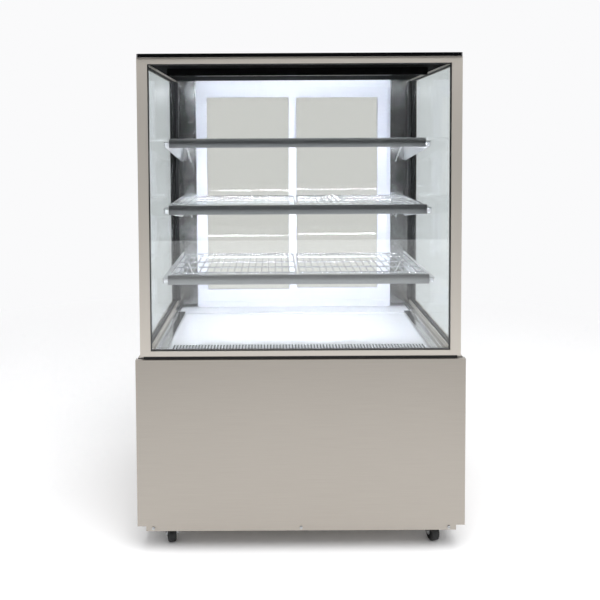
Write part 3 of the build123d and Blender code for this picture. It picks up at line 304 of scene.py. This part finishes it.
def float_glass(name, tint, film=1.0):
    """Clear float glass in a thin pane: the room shows through it nearly unchanged, with a mirror film that
    grows towards grazing, and a wiping haze that varies it a little."""
    m = new_material(name)
    at = coordinates(m, (4.0, 4.0, 4.0))
    haze = add_node(m, "ShaderNodeTexNoise", (-600, 0), inputs={"Scale": 1.0, "Detail": 2.0},
                    links={"Vector": (at, 0)})
    rough = add_node(m, "ShaderNodeMapRange", (-400, 0), inputs={"To Min": 0.0, "To Max": 0.02},
                     links={"Value": (haze, "Fac")})
    # The Fresnel node turns its index over on a back face. With the inverse there, both faces mirror alike.
    face = add_node(m, "ShaderNodeNewGeometry", (-800, 200))
    index = add_node(m, "ShaderNodeMapRange", (-600, 200), links={"Value": (face, "Backfacing")},
                     inputs={"To Min": GLASS_INDEX, "To Max": 1 / GLASS_INDEX})
    fresnel = add_node(m, "ShaderNodeFresnel", (-400, 200), links={"IOR": (index, 0)})
    share = add_node(m, "ShaderNodeMath", (-200, 200), settings={"operation": "MULTIPLY"}, inputs={1: film},
                     links={0: (fresnel, 0)})
    clear = add_node(m, "ShaderNodeBsdfTransparent", (0, -100), inputs={"Color": linear(tint)})
    mirror = add_node(m, "ShaderNodeBsdfGlossy", (0, -250), inputs={"Color": (1.0, 1.0, 1.0, 1.0)},
                      links={"Roughness": (rough, 0)})
    mixed = add_node(m, "ShaderNodeMixShader", (300, 0),
                     links={"Fac": (share, 0), 1: (clear, 0), 2: (mirror, 0)})
    return surface(m, mixed)


def lamp_diffuser(name, hex_value, strength):
    """Opal acrylic over light-emitting diodes: it glows evenly, a little stronger over each diode."""
    m = new_material(name)
    # Diodes 5.2 mm apart: the Wave texture repeats every 2 pi / 20 units, and 60 units make a metre here.
    at = coordinates(m, (60.0, 0.0, 0.0))
    wave = add_node(m, "ShaderNodeTexWave", (-600, 0), settings={"wave_profile": "SIN"},
                    inputs={"Scale": 1.0, "Distortion": 0.0}, links={"Vector": (at, 0)})
    glow = add_node(m, "ShaderNodeMapRange", (-300, 0), links={"Value": (wave, "Fac")},
                    inputs={"To Min": strength * 0.85, "To Max": strength * 1.15})
    shader = add_node(m, "ShaderNodeBsdfPrincipled", (200, 0),
                      inputs={"Base Color": linear("#F4F4F4"), "Roughness": 0.4,
                              "Emission Color": linear(hex_value)},
                      links={"Emission Strength": (glow, 0)})
    return surface(m, shader)


MATERIALS = {}

# Pieces whose finish differs from the others of their slot
OWN_FINISH = {
    "rear_posts": "satin_stainless",
    "shelf_brackets": "bracket_steel",
    "front_frame": "frame_stainless",
    "side_rails": "frame_stainless",
    "shelf_fascias": "edge_stainless",
    # The ceiling lamp's fascia and the roof are given painted dark: a matt black that stands in for the dark
    # reflection on the fascia and the shade under the roof.
    "ceiling_fascia": "painted_dark_roof",
    "roof_panel": "painted_dark_roof",
    "side_glass": "side_glass",
    "base_pan": "brushed_stainless",
}


def build_materials(finish):
    """Makes every finish once, under the record's slot names."""
    MATERIALS.update({
        "brushed_stainless": brushed_stainless_sheet(),
        "polished_stainless": polished_stainless("polished stainless", "#BDBCBB", 0.07, 0.16),
        "satin_stainless": polished_stainless("satin stainless", "#AEADAD", 0.2, 0.24, (300.0, 300.0, 4.0)),
        # The case frame is a lighter, finer finish than the panels of the base.
        "frame_stainless": polished_stainless("ground stainless frame", "#D5CFC6", 0.46, 0.5),
        "edge_stainless": polished_stainless("polished shelf edge", "#A0A0A2", 0.32, 0.38),
        "bracket_steel": coated("white zinc bracket", "#C9CACC", "#D3D4D6", 0.35, 0.45, 300.0, 0.05,
                                metallic=0.4),
        # Painted dark reflection and shade: matt black for the ceiling fascia and the roof's underside, where
        # the record has white powder coat for the roof.
        "painted_dark_roof": coated("matt black painted dark roof", "#09090A", "#0D0D0E", 0.7, 0.85, 300.0, 0.05,
                             gloss=0.03),
        "screw_steel": bright_zinc(),
        "zinc_steel": bright_zinc(),
        "galvanised_steel": galvanised_sheet(),
        # Foamed well, seen only in the shadow gap: grey ABS skin, made dark grey as painted shade so that the
        # gap reads dark.
        "grey_liner": coated("grey ABS liner with painted shade", "#2A2A2C", "#333336", 0.45, 0.6, 300.0, 0.1),
        "clear_glass": float_glass("clear float glass", "#FDFEFE"),
        # Low-iron side units, coated against glare.
        "side_glass": float_glass("coated side glass", "#FDFEFE", 0.3),
        "door_glass": float_glass("door float glass", "#F3F2EF"),
        "black_spacer": coated("black spacer tape", "#0C0C0D", "#141415", 0.5, 0.65, 500.0, 0.1),
        "black_rubber": coated("black silicone rubber", "#0B0B0C", "#151516", 0.5, 0.7, 400.0, 0.15),
        # Back-painted glass top: a clear coat over black.
        "black_top": coated("black back-painted glass", "#050506", "#08080A", 0.06, 0.12, 30.0, 0.0,
                            coat=1.0),
        # Powder coat: a slight orange peel about 1.5 mm across.
        "white_coated": coated("white powder coat", "#EDEEF4", "#F3F4FA", 0.28, 0.36, 650.0, 0.05),
        "light_diffuser": lamp_diffuser("opal lamp diffuser", "#F4F8FF", finish.lamp_strength),
        "white_flex": coated("white PVC flex", "#DEDEDF", "#E9E9EA", 0.35, 0.5, 400.0, 0.05),
        "chromed_wire": polished_stainless("electropolished wire", "#D8D8DA", 0.18, 0.3),
        "white_profile": coated("white PVC profile", "#E3E3EE", "#EAEAF4", 0.3, 0.42, 200.0, 0.03),
        "fan_plastic": coated("black moulded polypropylene", "#101011", "#19191A", 0.4, 0.55, 500.0, 0.1),
        "coil_aluminium": coated("mill-finish aluminium fin", "#B4B5B6", "#C6C7C8", 0.3, 0.5, 300.0, 0.1,
                                 metallic=1.0),
        "black_enamel": coated("black stoving enamel", "#0D0D0E", "#131314", 0.2, 0.35, 200.0, 0.05),
        "black_plastic": coated("black moulded ABS", "#0E0E0F", "#161617", 0.4, 0.55, 600.0, 0.12),
        "grey_plastic": coated("grey silicone button", "#5A5C60", "#666A6E", 0.45, 0.6, 500.0, 0.08),
        "wheel_rubber": coated("black polyurethane tread", "#0F0F10", "#1B1B1C", 0.45, 0.7, 300.0, 0.12),
    })


# Settings

class DisplayFinish(bpy.types.PropertyGroup):
    lamp_strength: FloatProperty(name="Lamp strength", description="Glow of the shelf and ceiling lamps",
                                 default=138.0, min=0.0)
    wire_radius: FloatProperty(name="Wire radius", description="Radius of the rack's close wires",
                               default=0.0018, min=0.0005, unit="LENGTH", subtype="DISTANCE")
    rod_radius: FloatProperty(name="Rod radius", description="Radius of the rack's frame and cross rods",
                              default=0.0025, min=0.0005, unit="LENGTH", subtype="DISTANCE")
    wires: IntProperty(name="Wires", description="Close wires in each rack", default=19, min=2)
    spacer_width: FloatProperty(name="Spacer width", description="Width of the glass units' edge spacer",
                                default=0.0095, unit="LENGTH", subtype="DISTANCE")
    lead_radius: FloatProperty(name="Lead radius", description="Radius of the lamps' flex", default=0.0016,
                               min=0.0005, unit="LENGTH", subtype="DISTANCE")
    lead_drop: FloatProperty(name="Lead drop", description="From the rack's top to the socket of its lamp",
                             default=0.082, unit="LENGTH", subtype="DISTANCE")
    slots: IntProperty(name="Grille slots", description="Slots of the air intake", default=81, min=2)
    slot_pitch: FloatProperty(name="Slot pitch", description="From one grille slot to the next",
                              default=0.0091, unit="LENGTH", subtype="DISTANCE")
    slot_width: FloatProperty(name="Slot width", description="Width of a grille slot", default=0.0046,
                              unit="LENGTH", subtype="DISTANCE")
    slot_length: FloatProperty(name="Slot length", description="Length of a grille slot", default=0.084,
                               unit="LENGTH", subtype="DISTANCE")
    louvres: IntProperty(name="Louvres", description="Louvres in each bank of the rear panel", default=11,
                         min=1)
    louvre_pitch: FloatProperty(name="Louvre pitch", description="From one louvre to the next", default=0.015,
                                unit="LENGTH", subtype="DISTANCE")
    louvre_bottom: FloatProperty(name="Lowest louvre", description="Height of the lowest louvre's foot",
                                 default=0.140, unit="LENGTH", subtype="DISTANCE")
    louvre_length: FloatProperty(name="Louvre length", description="Length of one louvre", default=0.306,
                                 unit="LENGTH", subtype="DISTANCE")
    louvre_x: FloatProperty(name="Louvre place", description="Middle of a bank, from the panel's middle",
                            default=0.190, unit="LENGTH", subtype="DISTANCE")
    louvre_depth: FloatProperty(name="Louvre depth", description="How far a louvre stands out", default=0.006,
                                unit="LENGTH", subtype="DISTANCE")


class DisplayStage(bpy.types.PropertyGroup):
    floor_colour: StringProperty(name="Floor colour", description="sRGB hex colour of the floor",
                                 default="#FAFAFB")
    key_power: FloatProperty(name="Key light", description="Power of the broad overhead light", default=112.0,
                             unit="POWER", min=0.0)
    camera_lens: FloatProperty(name="Lens", description="Focal length of the camera in millimetres",
                               default=41.5)
    camera_place: FloatVectorProperty(name="Camera place", description="Where the camera stands",
                                      default=(-0.072, -2.208, 1.142), unit="LENGTH", subtype="TRANSLATION")


# Operators

SHELVES = ("upper", "middle", "lower")


class DISPLAY_OT_finishes(bpy.types.Operator):
    """Give every CAD piece that stays in view its finish"""
    bl_idname = "display.finishes"
    bl_label = "Finish the CAD pieces"

    def execute(self, context):
        build_materials(context.scene.display_finish)
        slots = {part["node"]: part["material_slot"] for part in frame["record"]["subparts"]}
        for name, node in frame["nodes"].items():
            material = MATERIALS[OWN_FINISH.get(name, slots[name])]
            if not node.data.materials:
                node.data.materials.append(material)
            for i in range(len(node.material_slots)):
                node.material_slots[i].material = material
        return {"FINISHED"}


class DISPLAY_OT_racks(bpy.types.Operator):
    """Build the two welded wire racks of each shelf from round wire"""
    bl_idname = "display.racks"
    bl_label = "Wire racks"

    def execute(self, context):
        finish = context.scene.display_finish
        for name in SHELVES:
            node = f"shelf_{name}_racks"
            low, high = node_box(node)
            soup = Soup()
            for side in (-1, 1):
                self.one_rack(soup, finish, side, low, high)
            made = soup.made(f"racks_{name}_wire", MATERIALS["chromed_wire"], f"racks_{name}", "chromed_wire")
            finish_normals(made)
            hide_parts(node)
        return {"FINISHED"}

    def one_rack(self, soup, finish, side, low, high):
        """A rounded rectangle of rod carries close straight wires, and rods cross under them."""
        r, rod = finish.wire_radius, finish.rod_radius
        # From the middle of the case to the rack, the corner's radius, and how deep a rod is welded in
        middle_gap, turn, weld = 0.003, 0.012, 0.0008
        # Cross rods, how far in the outer two stand, a ring on each wire, and points round a corner
        rods, rod_inset, wire_ring, corner_points = 4, 0.05, 0.1, 7
        y0, y1 = low[1], high[1]
        top = high[2]
        rod_z = top - 2 * r - rod + weld
        a, b = middle_gap + rod, high[0] - rod
        c, d = y0 + rod, y1 - rod
        corners = [(a + turn, c + turn, math.pi), (b - turn, c + turn, 1.5 * math.pi),
                   (b - turn, d - turn, 0.0), (a + turn, d - turn, 0.5 * math.pi)]
        loop = []
        for cx, cy, start in corners:
            t = np.linspace(start, start + 0.5 * math.pi, corner_points)
            level = np.full(corner_points, top - rod)
            loop.append(np.column_stack([cx + turn * np.cos(t), cy + turn * np.sin(t), level]))
        loop = np.concatenate(loop)
        loop[:, 0] *= side
        closed_tube(soup, loop, rod, 10)
        for i in range(1, finish.wires - 1):
            x = side * (a + (b - a) * i / (finish.wires - 1))
            soup.tube([(x, y, top - r) for y in (c, y0 + wire_ring, d)], r, 8)
        for y in np.linspace(y0 + rod_inset, y1 - rod_inset, rods):
            soup.tube([(side * x, y, rod_z) for x in (a, 0.5 * (a + b), b)], rod, 8)


def closed_tube(soup, loop, radius, sides):
    """A ring-shaped tube: the circle of tube_points carried round a closed loop."""
    rows = len(loop)
    along = np.roll(loop, -1, axis=0) - np.roll(loop, 1, axis=0)
    along /= np.linalg.norm(along, axis=1)[:, None]
    up = np.array([0.0, 0.0, 1.0])
    side = np.cross(along, up)
    side /= np.linalg.norm(side, axis=1)[:, None]
    t = np.linspace(0, 2 * np.pi, sides, endpoint=False)
    ring = np.cos(t)[None, :, None] * side[:, None, :] + np.sin(t)[None, :, None] * up
    points = (loop[:, None, :] + radius * ring).reshape(-1, 3)
    soup.add(points, list(grid_faces(rows, sides, close_rows=True, close_columns=True, flip=True)))


def shelves():
    """Top level and front end of the racks of each shelf, read from the CAD nodes."""
    for name in SHELVES:
        low, high = node_box(f"shelf_{name}_racks")
        yield high[2], low[1]


class DISPLAY_OT_lamps(bpy.types.Operator):
    """Set a metal channel and an opal diffuser in place of each plain light bar"""
    bl_idname = "display.lamps"
    bl_label = "Lamps"

    def execute(self, context):
        # From the rack's top to the channel's foot, behind the ceiling cover, and the strip inside each end
        drop, clearance, end = 0.0273, 0.0003, 0.004
        # The channel is open to the back, so its opal strip is hidden from the front and from below.
        tall, floor, roof, wall, sheet, strip_foot = 0.008, 0.0088, 0.009, 0.0008, 0.0006, 0.003
        channel = np.array([(0, 0), (floor, 0), (floor, sheet), (wall, sheet), (wall, tall - sheet),
                            (roof, tall - sheet), (roof, tall), (0, tall)])
        strip = np.array([(strip_foot, wall), (strip_foot + wall, wall), (floor, tall - wall),
                          (floor - wall, tall - wall)])
        half = node_box("shelf_lights")[1][0]
        bars = [(front, level - drop) for level, front in shelves()]
        low, high = node_box("ceiling_fascia")
        bars.append((high[1] + clearance, low[2]))
        channels, diffusers = Soup(), Soup()
        for bar in bars:
            channels.sweep(channel + bar, -half, half)
            diffusers.sweep(strip + bar, -half + end, half - end)
        made = channels.made("lamp_channels", MATERIALS["satin_stainless"], "cabinet", "light_diffuser")
        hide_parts("shelf_lights")
        diffusers.made("lamp_diffusers", MATERIALS["light_diffuser"], "cabinet", "light_diffuser")
        return {"FINISHED"}


class DISPLAY_OT_spacers(bpy.types.Operator):
    """Set a slim black edge spacer between the panes of each glass unit"""
    bl_idname = "display.spacers"
    bl_label = "Glass spacers"

    def execute(self, context):
        # The spacer lies between two panes, as thick as the air between them.
        width, pane, air = context.scene.display_finish.spacer_width, 0.0043, 0.0084
        soup = Soup()
        low, high = node_box("front_glass")
        front = np.array([low[1] + pane, low[1] + pane + air])
        for z in (low[2], high[2] - width):
            soup.block((low[0], front[0], z), (high[0], front[1], z + width))
        for x in (low[0], high[0] - width):
            soup.block((x, front[0], low[2] + width), (x + width, front[1], high[2] - width))
        low, high = node_box("side_glass")
        for x in (low[0] + pane, high[0] - pane - air):
            for z in (low[2], high[2] - width):
                soup.block((x, low[1], z), (x + air, high[1], z + width))
            for y in (low[1], high[1] - width):
                soup.block((x, y, low[2] + width), (x + air, y + width, high[2] - width))
        made = soup.made("edge_spacers", MATERIALS["black_spacer"], "cabinet", "black_spacer")
        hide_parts("glazing_spacers")
        return {"FINISHED"}


class DISPLAY_OT_leads(bpy.types.Operator):
    """Run each lamp's round flex from the end of its channel to the socket in the rear post"""
    bl_idname = "display.leads"
    bl_label = "Lamp leads"

    def execute(self, context):
        finish = context.scene.display_finish
        # From the rack's top to the end in the lamp, and from the run along the shelf in to the socket
        lamp_end, step_in = 0.0223, 0.008
        post = node_box("rear_posts")[0][1]
        x = node_box("shelf_light_leads")[1][0] - finish.lead_radius
        inner = x - step_in
        soup = Soup()
        for level, front in shelves():
            z0, z1 = level - lamp_end, level - finish.lead_drop
            knots = [(x, front + 0.0093, z0), (x, post - 0.16, z0 - 0.001), (x, post - 0.085, z0 - 0.006),
                     (inner, post - 0.034, z1 + 0.014), (inner, post - 0.018, z1), (inner, post + 0.0034, z1)]
            path = spline(knots, 9)
            soup.tube(path, finish.lead_radius, 12)
            soup.tube(path * (-1, 1, 1), finish.lead_radius, 12)
        made = soup.made("lamp_leads", MATERIALS["white_flex"], "cabinet", "white_flex")
        finish_normals(made, 60.0)
        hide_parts("shelf_light_leads")
        return {"FINISHED"}


def spline(knots, steps):
    """Points on a uniform Catmull-Rom curve: each span is the cubic through its ends whose slopes are half
    the chord of the neighbours."""
    p = np.asarray(knots, dtype=float)
    p = np.concatenate([[2 * p[0] - p[1]], p, [2 * p[-1] - p[-2]]])
    t = np.linspace(0, 1, steps, endpoint=False)[:, None]
    out = []
    for a, b, c, d in zip(p, p[1:], p[2:], p[3:]):
        square, cube = 2 * a - 5 * b + 4 * c - d, 3 * b - a - 3 * c + d
        out.append(0.5 * (2 * b + (c - a) * t + square * t**2 + cube * t**3))
    return np.concatenate(out + [p[-2:-1]])


class DISPLAY_OT_grille(bpy.types.Operator):
    """Cut the close slots of the air intake in front of the deck"""
    bl_idname = "display.grille"
    bl_label = "Air grille"

    def execute(self, context):
        finish = context.scene.display_finish
        low, high = node_box("air_grille")
        slot, pitch, length, edge = finish.slot_width, finish.slot_pitch, finish.slot_length, 0.007
        middles = (np.arange(finish.slots) - (finish.slots - 1) / 2) * pitch
        edges = np.sort(np.concatenate([[low[0], high[0]], middles - slot / 2, middles + slot / 2]))
        y = np.array([low[1], high[1] - edge - length, high[1] - edge, high[1]])
        soup = Soup()
        slotted_plate(soup, edges, y, low[2], high[2])
        made = soup.made("air_grille_slots", MATERIALS["white_coated"], "cabinet", "white_coated")
        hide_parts("air_grille")
        return {"FINISHED"}


def slotted_plate(soup, x, y, z0, z1):
    """A flat plate whose cells between x[1], x[2], then x[3], x[4] and so on, and between y[1] and y[2], are
    open: a grid of quads above and below without the open cells, and a wall at each edge that is left."""
    columns, rows = len(x), len(y)
    xx, yy = np.meshgrid(x, y, indexing="ij")
    flat = np.column_stack([xx.ravel(), yy.ravel()])
    points = np.concatenate([np.column_stack([flat, np.full(len(flat), z)]) for z in (z0, z1)])
    solid = np.ones((columns - 1, rows - 1), dtype=bool)
    solid[1:-1:2, 1] = False
    n, faces = columns * rows, []
    padded = np.pad(solid, 1)
    for i, j in zip(*np.nonzero(solid)):
        a, b, c, d = i * rows + j, (i + 1) * rows + j, (i + 1) * rows + j + 1, i * rows + j + 1
        faces.append((a + n, b + n, c + n, d + n))
        faces.append((a, d, c, b))
        for neighbour, p, q in ((padded[i + 1, j], a, b), (padded[i + 2, j + 1], b, c),
                                (padded[i + 1, j + 2], c, d), (padded[i, j + 1], d, a)):
            if not neighbour:
                faces.append((p, q, q + n, p + n))
    soup.add(points, faces)


class DISPLAY_OT_wheels(bpy.types.Operator):
    """Turn a rounded tyre on a dished hub for each castor"""
    bl_idname = "display.wheels"
    bl_label = "Castor wheels"

    def execute(self, context):
        half_width = 0.011
        for joint in frame["record"]["behaviour"]["joints"]:
            if not joint["name"].startswith("castor_roll"):
                continue
            node = joint["name"].replace("roll", "wheel")
            low, high = node_box(node)
            radius = 0.5 * (high[2] - low[2])
            soup = Soup()
            soup.lathe(self.profile(radius, half_width), 0.5 * (low + high), joint["axis"], 48)
            made = soup.made(f"{node}_tyre", MATERIALS["wheel_rubber"], node, "wheel_rubber")
            finish_normals(made, 35.0)
            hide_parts(node)
        return {"FINISHED"}

    def profile(self, r, w):
        """Half of the wheel's section from bore to tread, then mirrored: the shoulder is a quarter circle."""
        bore, boss, dish_in, dish_out, rim = 0.0036, 0.0066, 0.0080, r - 0.0085, r - 0.0070
        dish, round_off = 0.003, 0.004
        t = np.linspace(0, np.pi / 2, 7)
        shoulder = np.column_stack([w - round_off * (1 - np.cos(t)), r - round_off * (1 - np.sin(t))])
        half = np.concatenate([[(w, bore), (w, boss), (w - dish, dish_in), (w - dish, dish_out), (w, rim)],
                               shoulder])
        return np.concatenate([half, half[::-1] * (-1, 1)])


class DISPLAY_OT_louvres(bpy.types.Operator):
    """Press a hood over each slot of the rear service panel"""
    bl_idname = "display.louvres"
    bl_label = "Louvre hoods"

    def execute(self, context):
        finish = context.scene.display_finish
        back = node_box("rear_panel")[1][1]
        soup = Soup()
        for i in range(finish.louvres):
            z = finish.louvre_bottom + i * finish.louvre_pitch
            for x in (-finish.louvre_x, finish.louvre_x):
                self.hood(soup, x, back, z, finish)
        made = soup.made("rear_panel_louvres", MATERIALS["galvanised_steel"], "cabinet", "galvanised_steel")
        wall = made.modifiers.new("wall", "SOLIDIFY")
        wall.thickness = 0.001
        wall.offset = -1.0
        finish_normals(made, 50.0)
        return {"FINISHED"}

    def hood(self, soup, x, y, z, finish):
        """Over u from -1 to 1 along the slot and v from 0 at its open foot to 1 at its root, the sheet stands
        out by depth * (1 - u^10) ^ 0.5 * cos(v * pi / 2)."""
        columns, rows = 29, 7
        proud, foot, tall = 0.0002, 0.0005, 0.0085
        u = np.sin(np.linspace(-np.pi / 2, np.pi / 2, columns))
        v = np.linspace(0.0, 1.0, rows)
        uu, vv = np.meshgrid(u, v, indexing="ij")
        out = finish.louvre_depth * np.sqrt(np.clip(1 - uu ** 10, 0, 1)) * np.cos(vv * np.pi / 2)
        half = finish.louvre_length / 2
        points = np.stack([x + half * uu, y + proud + out, z + foot + tall * vv], axis=-1).reshape(-1, 3)
        soup.add(points, list(grid_faces(columns, rows)))


class DISPLAY_OT_stage(bpy.types.Operator):
    """Set the floor, the backdrop, the lights and the camera"""
    bl_idname = "display.stage"
    bl_label = "Stage"

    def execute(self, context):
        stage = context.scene.display_stage
        self.floor(stage)
        self.world(context)
        self.flag()
        self.lights(stage)
        self.camera(context, stage)
        context.scene.view_settings.view_transform = "Standard"
        return {"FINISHED"}

    def floor(self, stage):
        """A broad flat floor, matt and pale round the object, that fades into the white room 3 m out."""
        m = new_material("pale studio floor")
        at = add_node(m, "ShaderNodeTexCoord", (-1000, 0))
        far = add_node(m, "ShaderNodeVectorMath", (-800, 0), settings={"operation": "LENGTH"},
                       links={"Vector": (at, "Object")})
        fade = add_node(m, "ShaderNodeMapRange", (-600, 0), inputs={"From Min": 1.2, "From Max": 3.0},
                        links={"Value": (far, "Value")})
        colour = linear(stage.floor_colour)
        diffuse = add_node(m, "ShaderNodeBsdfDiffuse", (-400, 100), inputs={"Color": colour})
        glow = add_node(m, "ShaderNodeEmission", (-400, -100), inputs={"Color": colour})
        mixed = add_node(m, "ShaderNodeMixShader", (0, 0),
                         links={"Fac": (fade, 0), 1: (diffuse, 0), 2: (glow, 0)})
        surface(m, mixed)
        mesh = bpy.data.meshes.new("floor")
        mesh.from_pydata([(-60, -60, 0), (60, -60, 0), (60, 60, 0), (-60, 60, 0)], [], [(0, 1, 2, 3)])
        mesh.materials.append(m)
        floor = bpy.data.objects.new("floor", mesh)
        bpy.context.scene.collection.objects.link(floor)

    def world(self, context):
        """White to the camera, to mirrors and through glass; as light it is softer."""
        world = bpy.data.worlds.new("studio")
        context.scene.world = world
        world.use_nodes = True
        world.node_tree.nodes.clear()
        path = add_node(world, "ShaderNodeLightPath", (-800, 0))
        first = add_node(world, "ShaderNodeMath", (-600, 0), settings={"operation": "MAXIMUM"},
                         links={0: (path, "Is Camera Ray"), 1: (path, "Is Glossy Ray")})
        seen = add_node(world, "ShaderNodeMath", (-400, 0), settings={"operation": "MAXIMUM"},
                        links={0: (first, 0), 1: (path, "Is Transmission Ray")})
        light = add_node(world, "ShaderNodeBackground", (-200, 100), inputs={"Strength": 0.75})
        light.inputs["Color"].default_value = linear("#FFFFFF")
        white = add_node(world, "ShaderNodeBackground", (-200, -100), inputs={"Strength": 1.0})
        white.inputs["Color"].default_value = linear("#FAFAFB")
        mixed = add_node(world, "ShaderNodeMixShader", (0, 0),
                         links={"Fac": (seen, 0), 1: (light, 0), 2: (white, 0)})
        add_node(world, "ShaderNodeOutputWorld", (200, 0), links={"Surface": (mixed, 0)})

    def flag(self):
        """The studio's dark side behind the camera: a matt black card that only mirrors show."""
        m = new_material("black studio card")
        black = add_node(m, "ShaderNodeBsdfDiffuse", (0, 0), inputs={"Color": linear("#141414")})
        surface(m, black)
        mesh = bpy.data.meshes.new("card")
        mesh.from_pydata([(-7, -6, 0.02), (7, -6, 0.02), (7, -6, 5), (-7, -6, 5)], [], [(0, 1, 2, 3)])
        mesh.materials.append(m)
        card = bpy.data.objects.new("card", mesh)
        bpy.context.scene.collection.objects.link(card)
        card.visible_camera = False
        card.visible_diffuse = False
        card.visible_transmission = False
        card.visible_shadow = False

    def lights(self, stage):
        """One broad soft light high over the front."""
        data = bpy.data.lights.new("overhead", "AREA")
        data.shape = "RECTANGLE"
        data.size, data.size_y = 3.0, 3.0
        data.energy = stage.key_power
        lamp = bpy.data.objects.new("overhead", data)
        lamp.location = (0.4, -1.4, 3.4)
        lamp.rotation_euler = (math.radians(24), 0, 0)
        bpy.context.scene.collection.objects.link(lamp)

    def camera(self, context, stage):
        """The photograph's view: a slight tilt down, with the frame shifted so the uprights stay upright."""
        data = bpy.data.cameras.new("camera")
        data.sensor_width = 36.0
        data.lens = stage.camera_lens
        data.shift_x = 0.045
        data.shift_y = -0.22
        data.clip_end = 100.0
        camera = bpy.data.objects.new("camera", data)
        camera.location = stage.camera_place
        camera.rotation_euler = (math.radians(87.5), math.radians(0.3), 0)
        context.scene.collection.objects.link(camera)
        context.scene.camera = camera


STEPS = ("finishes", "racks", "lamps", "spacers", "leads", "grille", "wheels", "louvres", "stage")


class DISPLAY_PT_panel(bpy.types.Panel):
    """Lists the steps and their settings in the sidebar"""
    bl_idname = "DISPLAY_PT_panel"
    bl_label = "Refrigerated food display"
    bl_space_type = "VIEW_3D"
    bl_region_type = "UI"
    bl_category = "Display"

    def draw(self, context):
        layout = self.layout
        for group in (context.scene.display_finish, context.scene.display_stage):
            for name in group.__annotations__:
                layout.prop(group, name)
        for step in STEPS:
            layout.operator(f"display.{step}")


CLASSES = (DisplayFinish, DisplayStage, DISPLAY_OT_finishes, DISPLAY_OT_racks, DISPLAY_OT_lamps,
           DISPLAY_OT_spacers, DISPLAY_OT_leads, DISPLAY_OT_grille, DISPLAY_OT_wheels, DISPLAY_OT_louvres,
           DISPLAY_OT_stage, DISPLAY_PT_panel)


def register():
    for cls in CLASSES:
        bpy.utils.register_class(cls)
    bpy.types.Scene.display_finish = PointerProperty(type=DisplayFinish)
    bpy.types.Scene.display_stage = PointerProperty(type=DisplayStage)


def unregister():
    del bpy.types.Scene.display_stage
    del bpy.types.Scene.display_finish
    for cls in reversed(CLASSES):
        bpy.utils.unregister_class(cls)


def main():
    register()
    for step in STEPS:
        getattr(bpy.ops.display, step)()


if __name__ == "__main__":
    main()
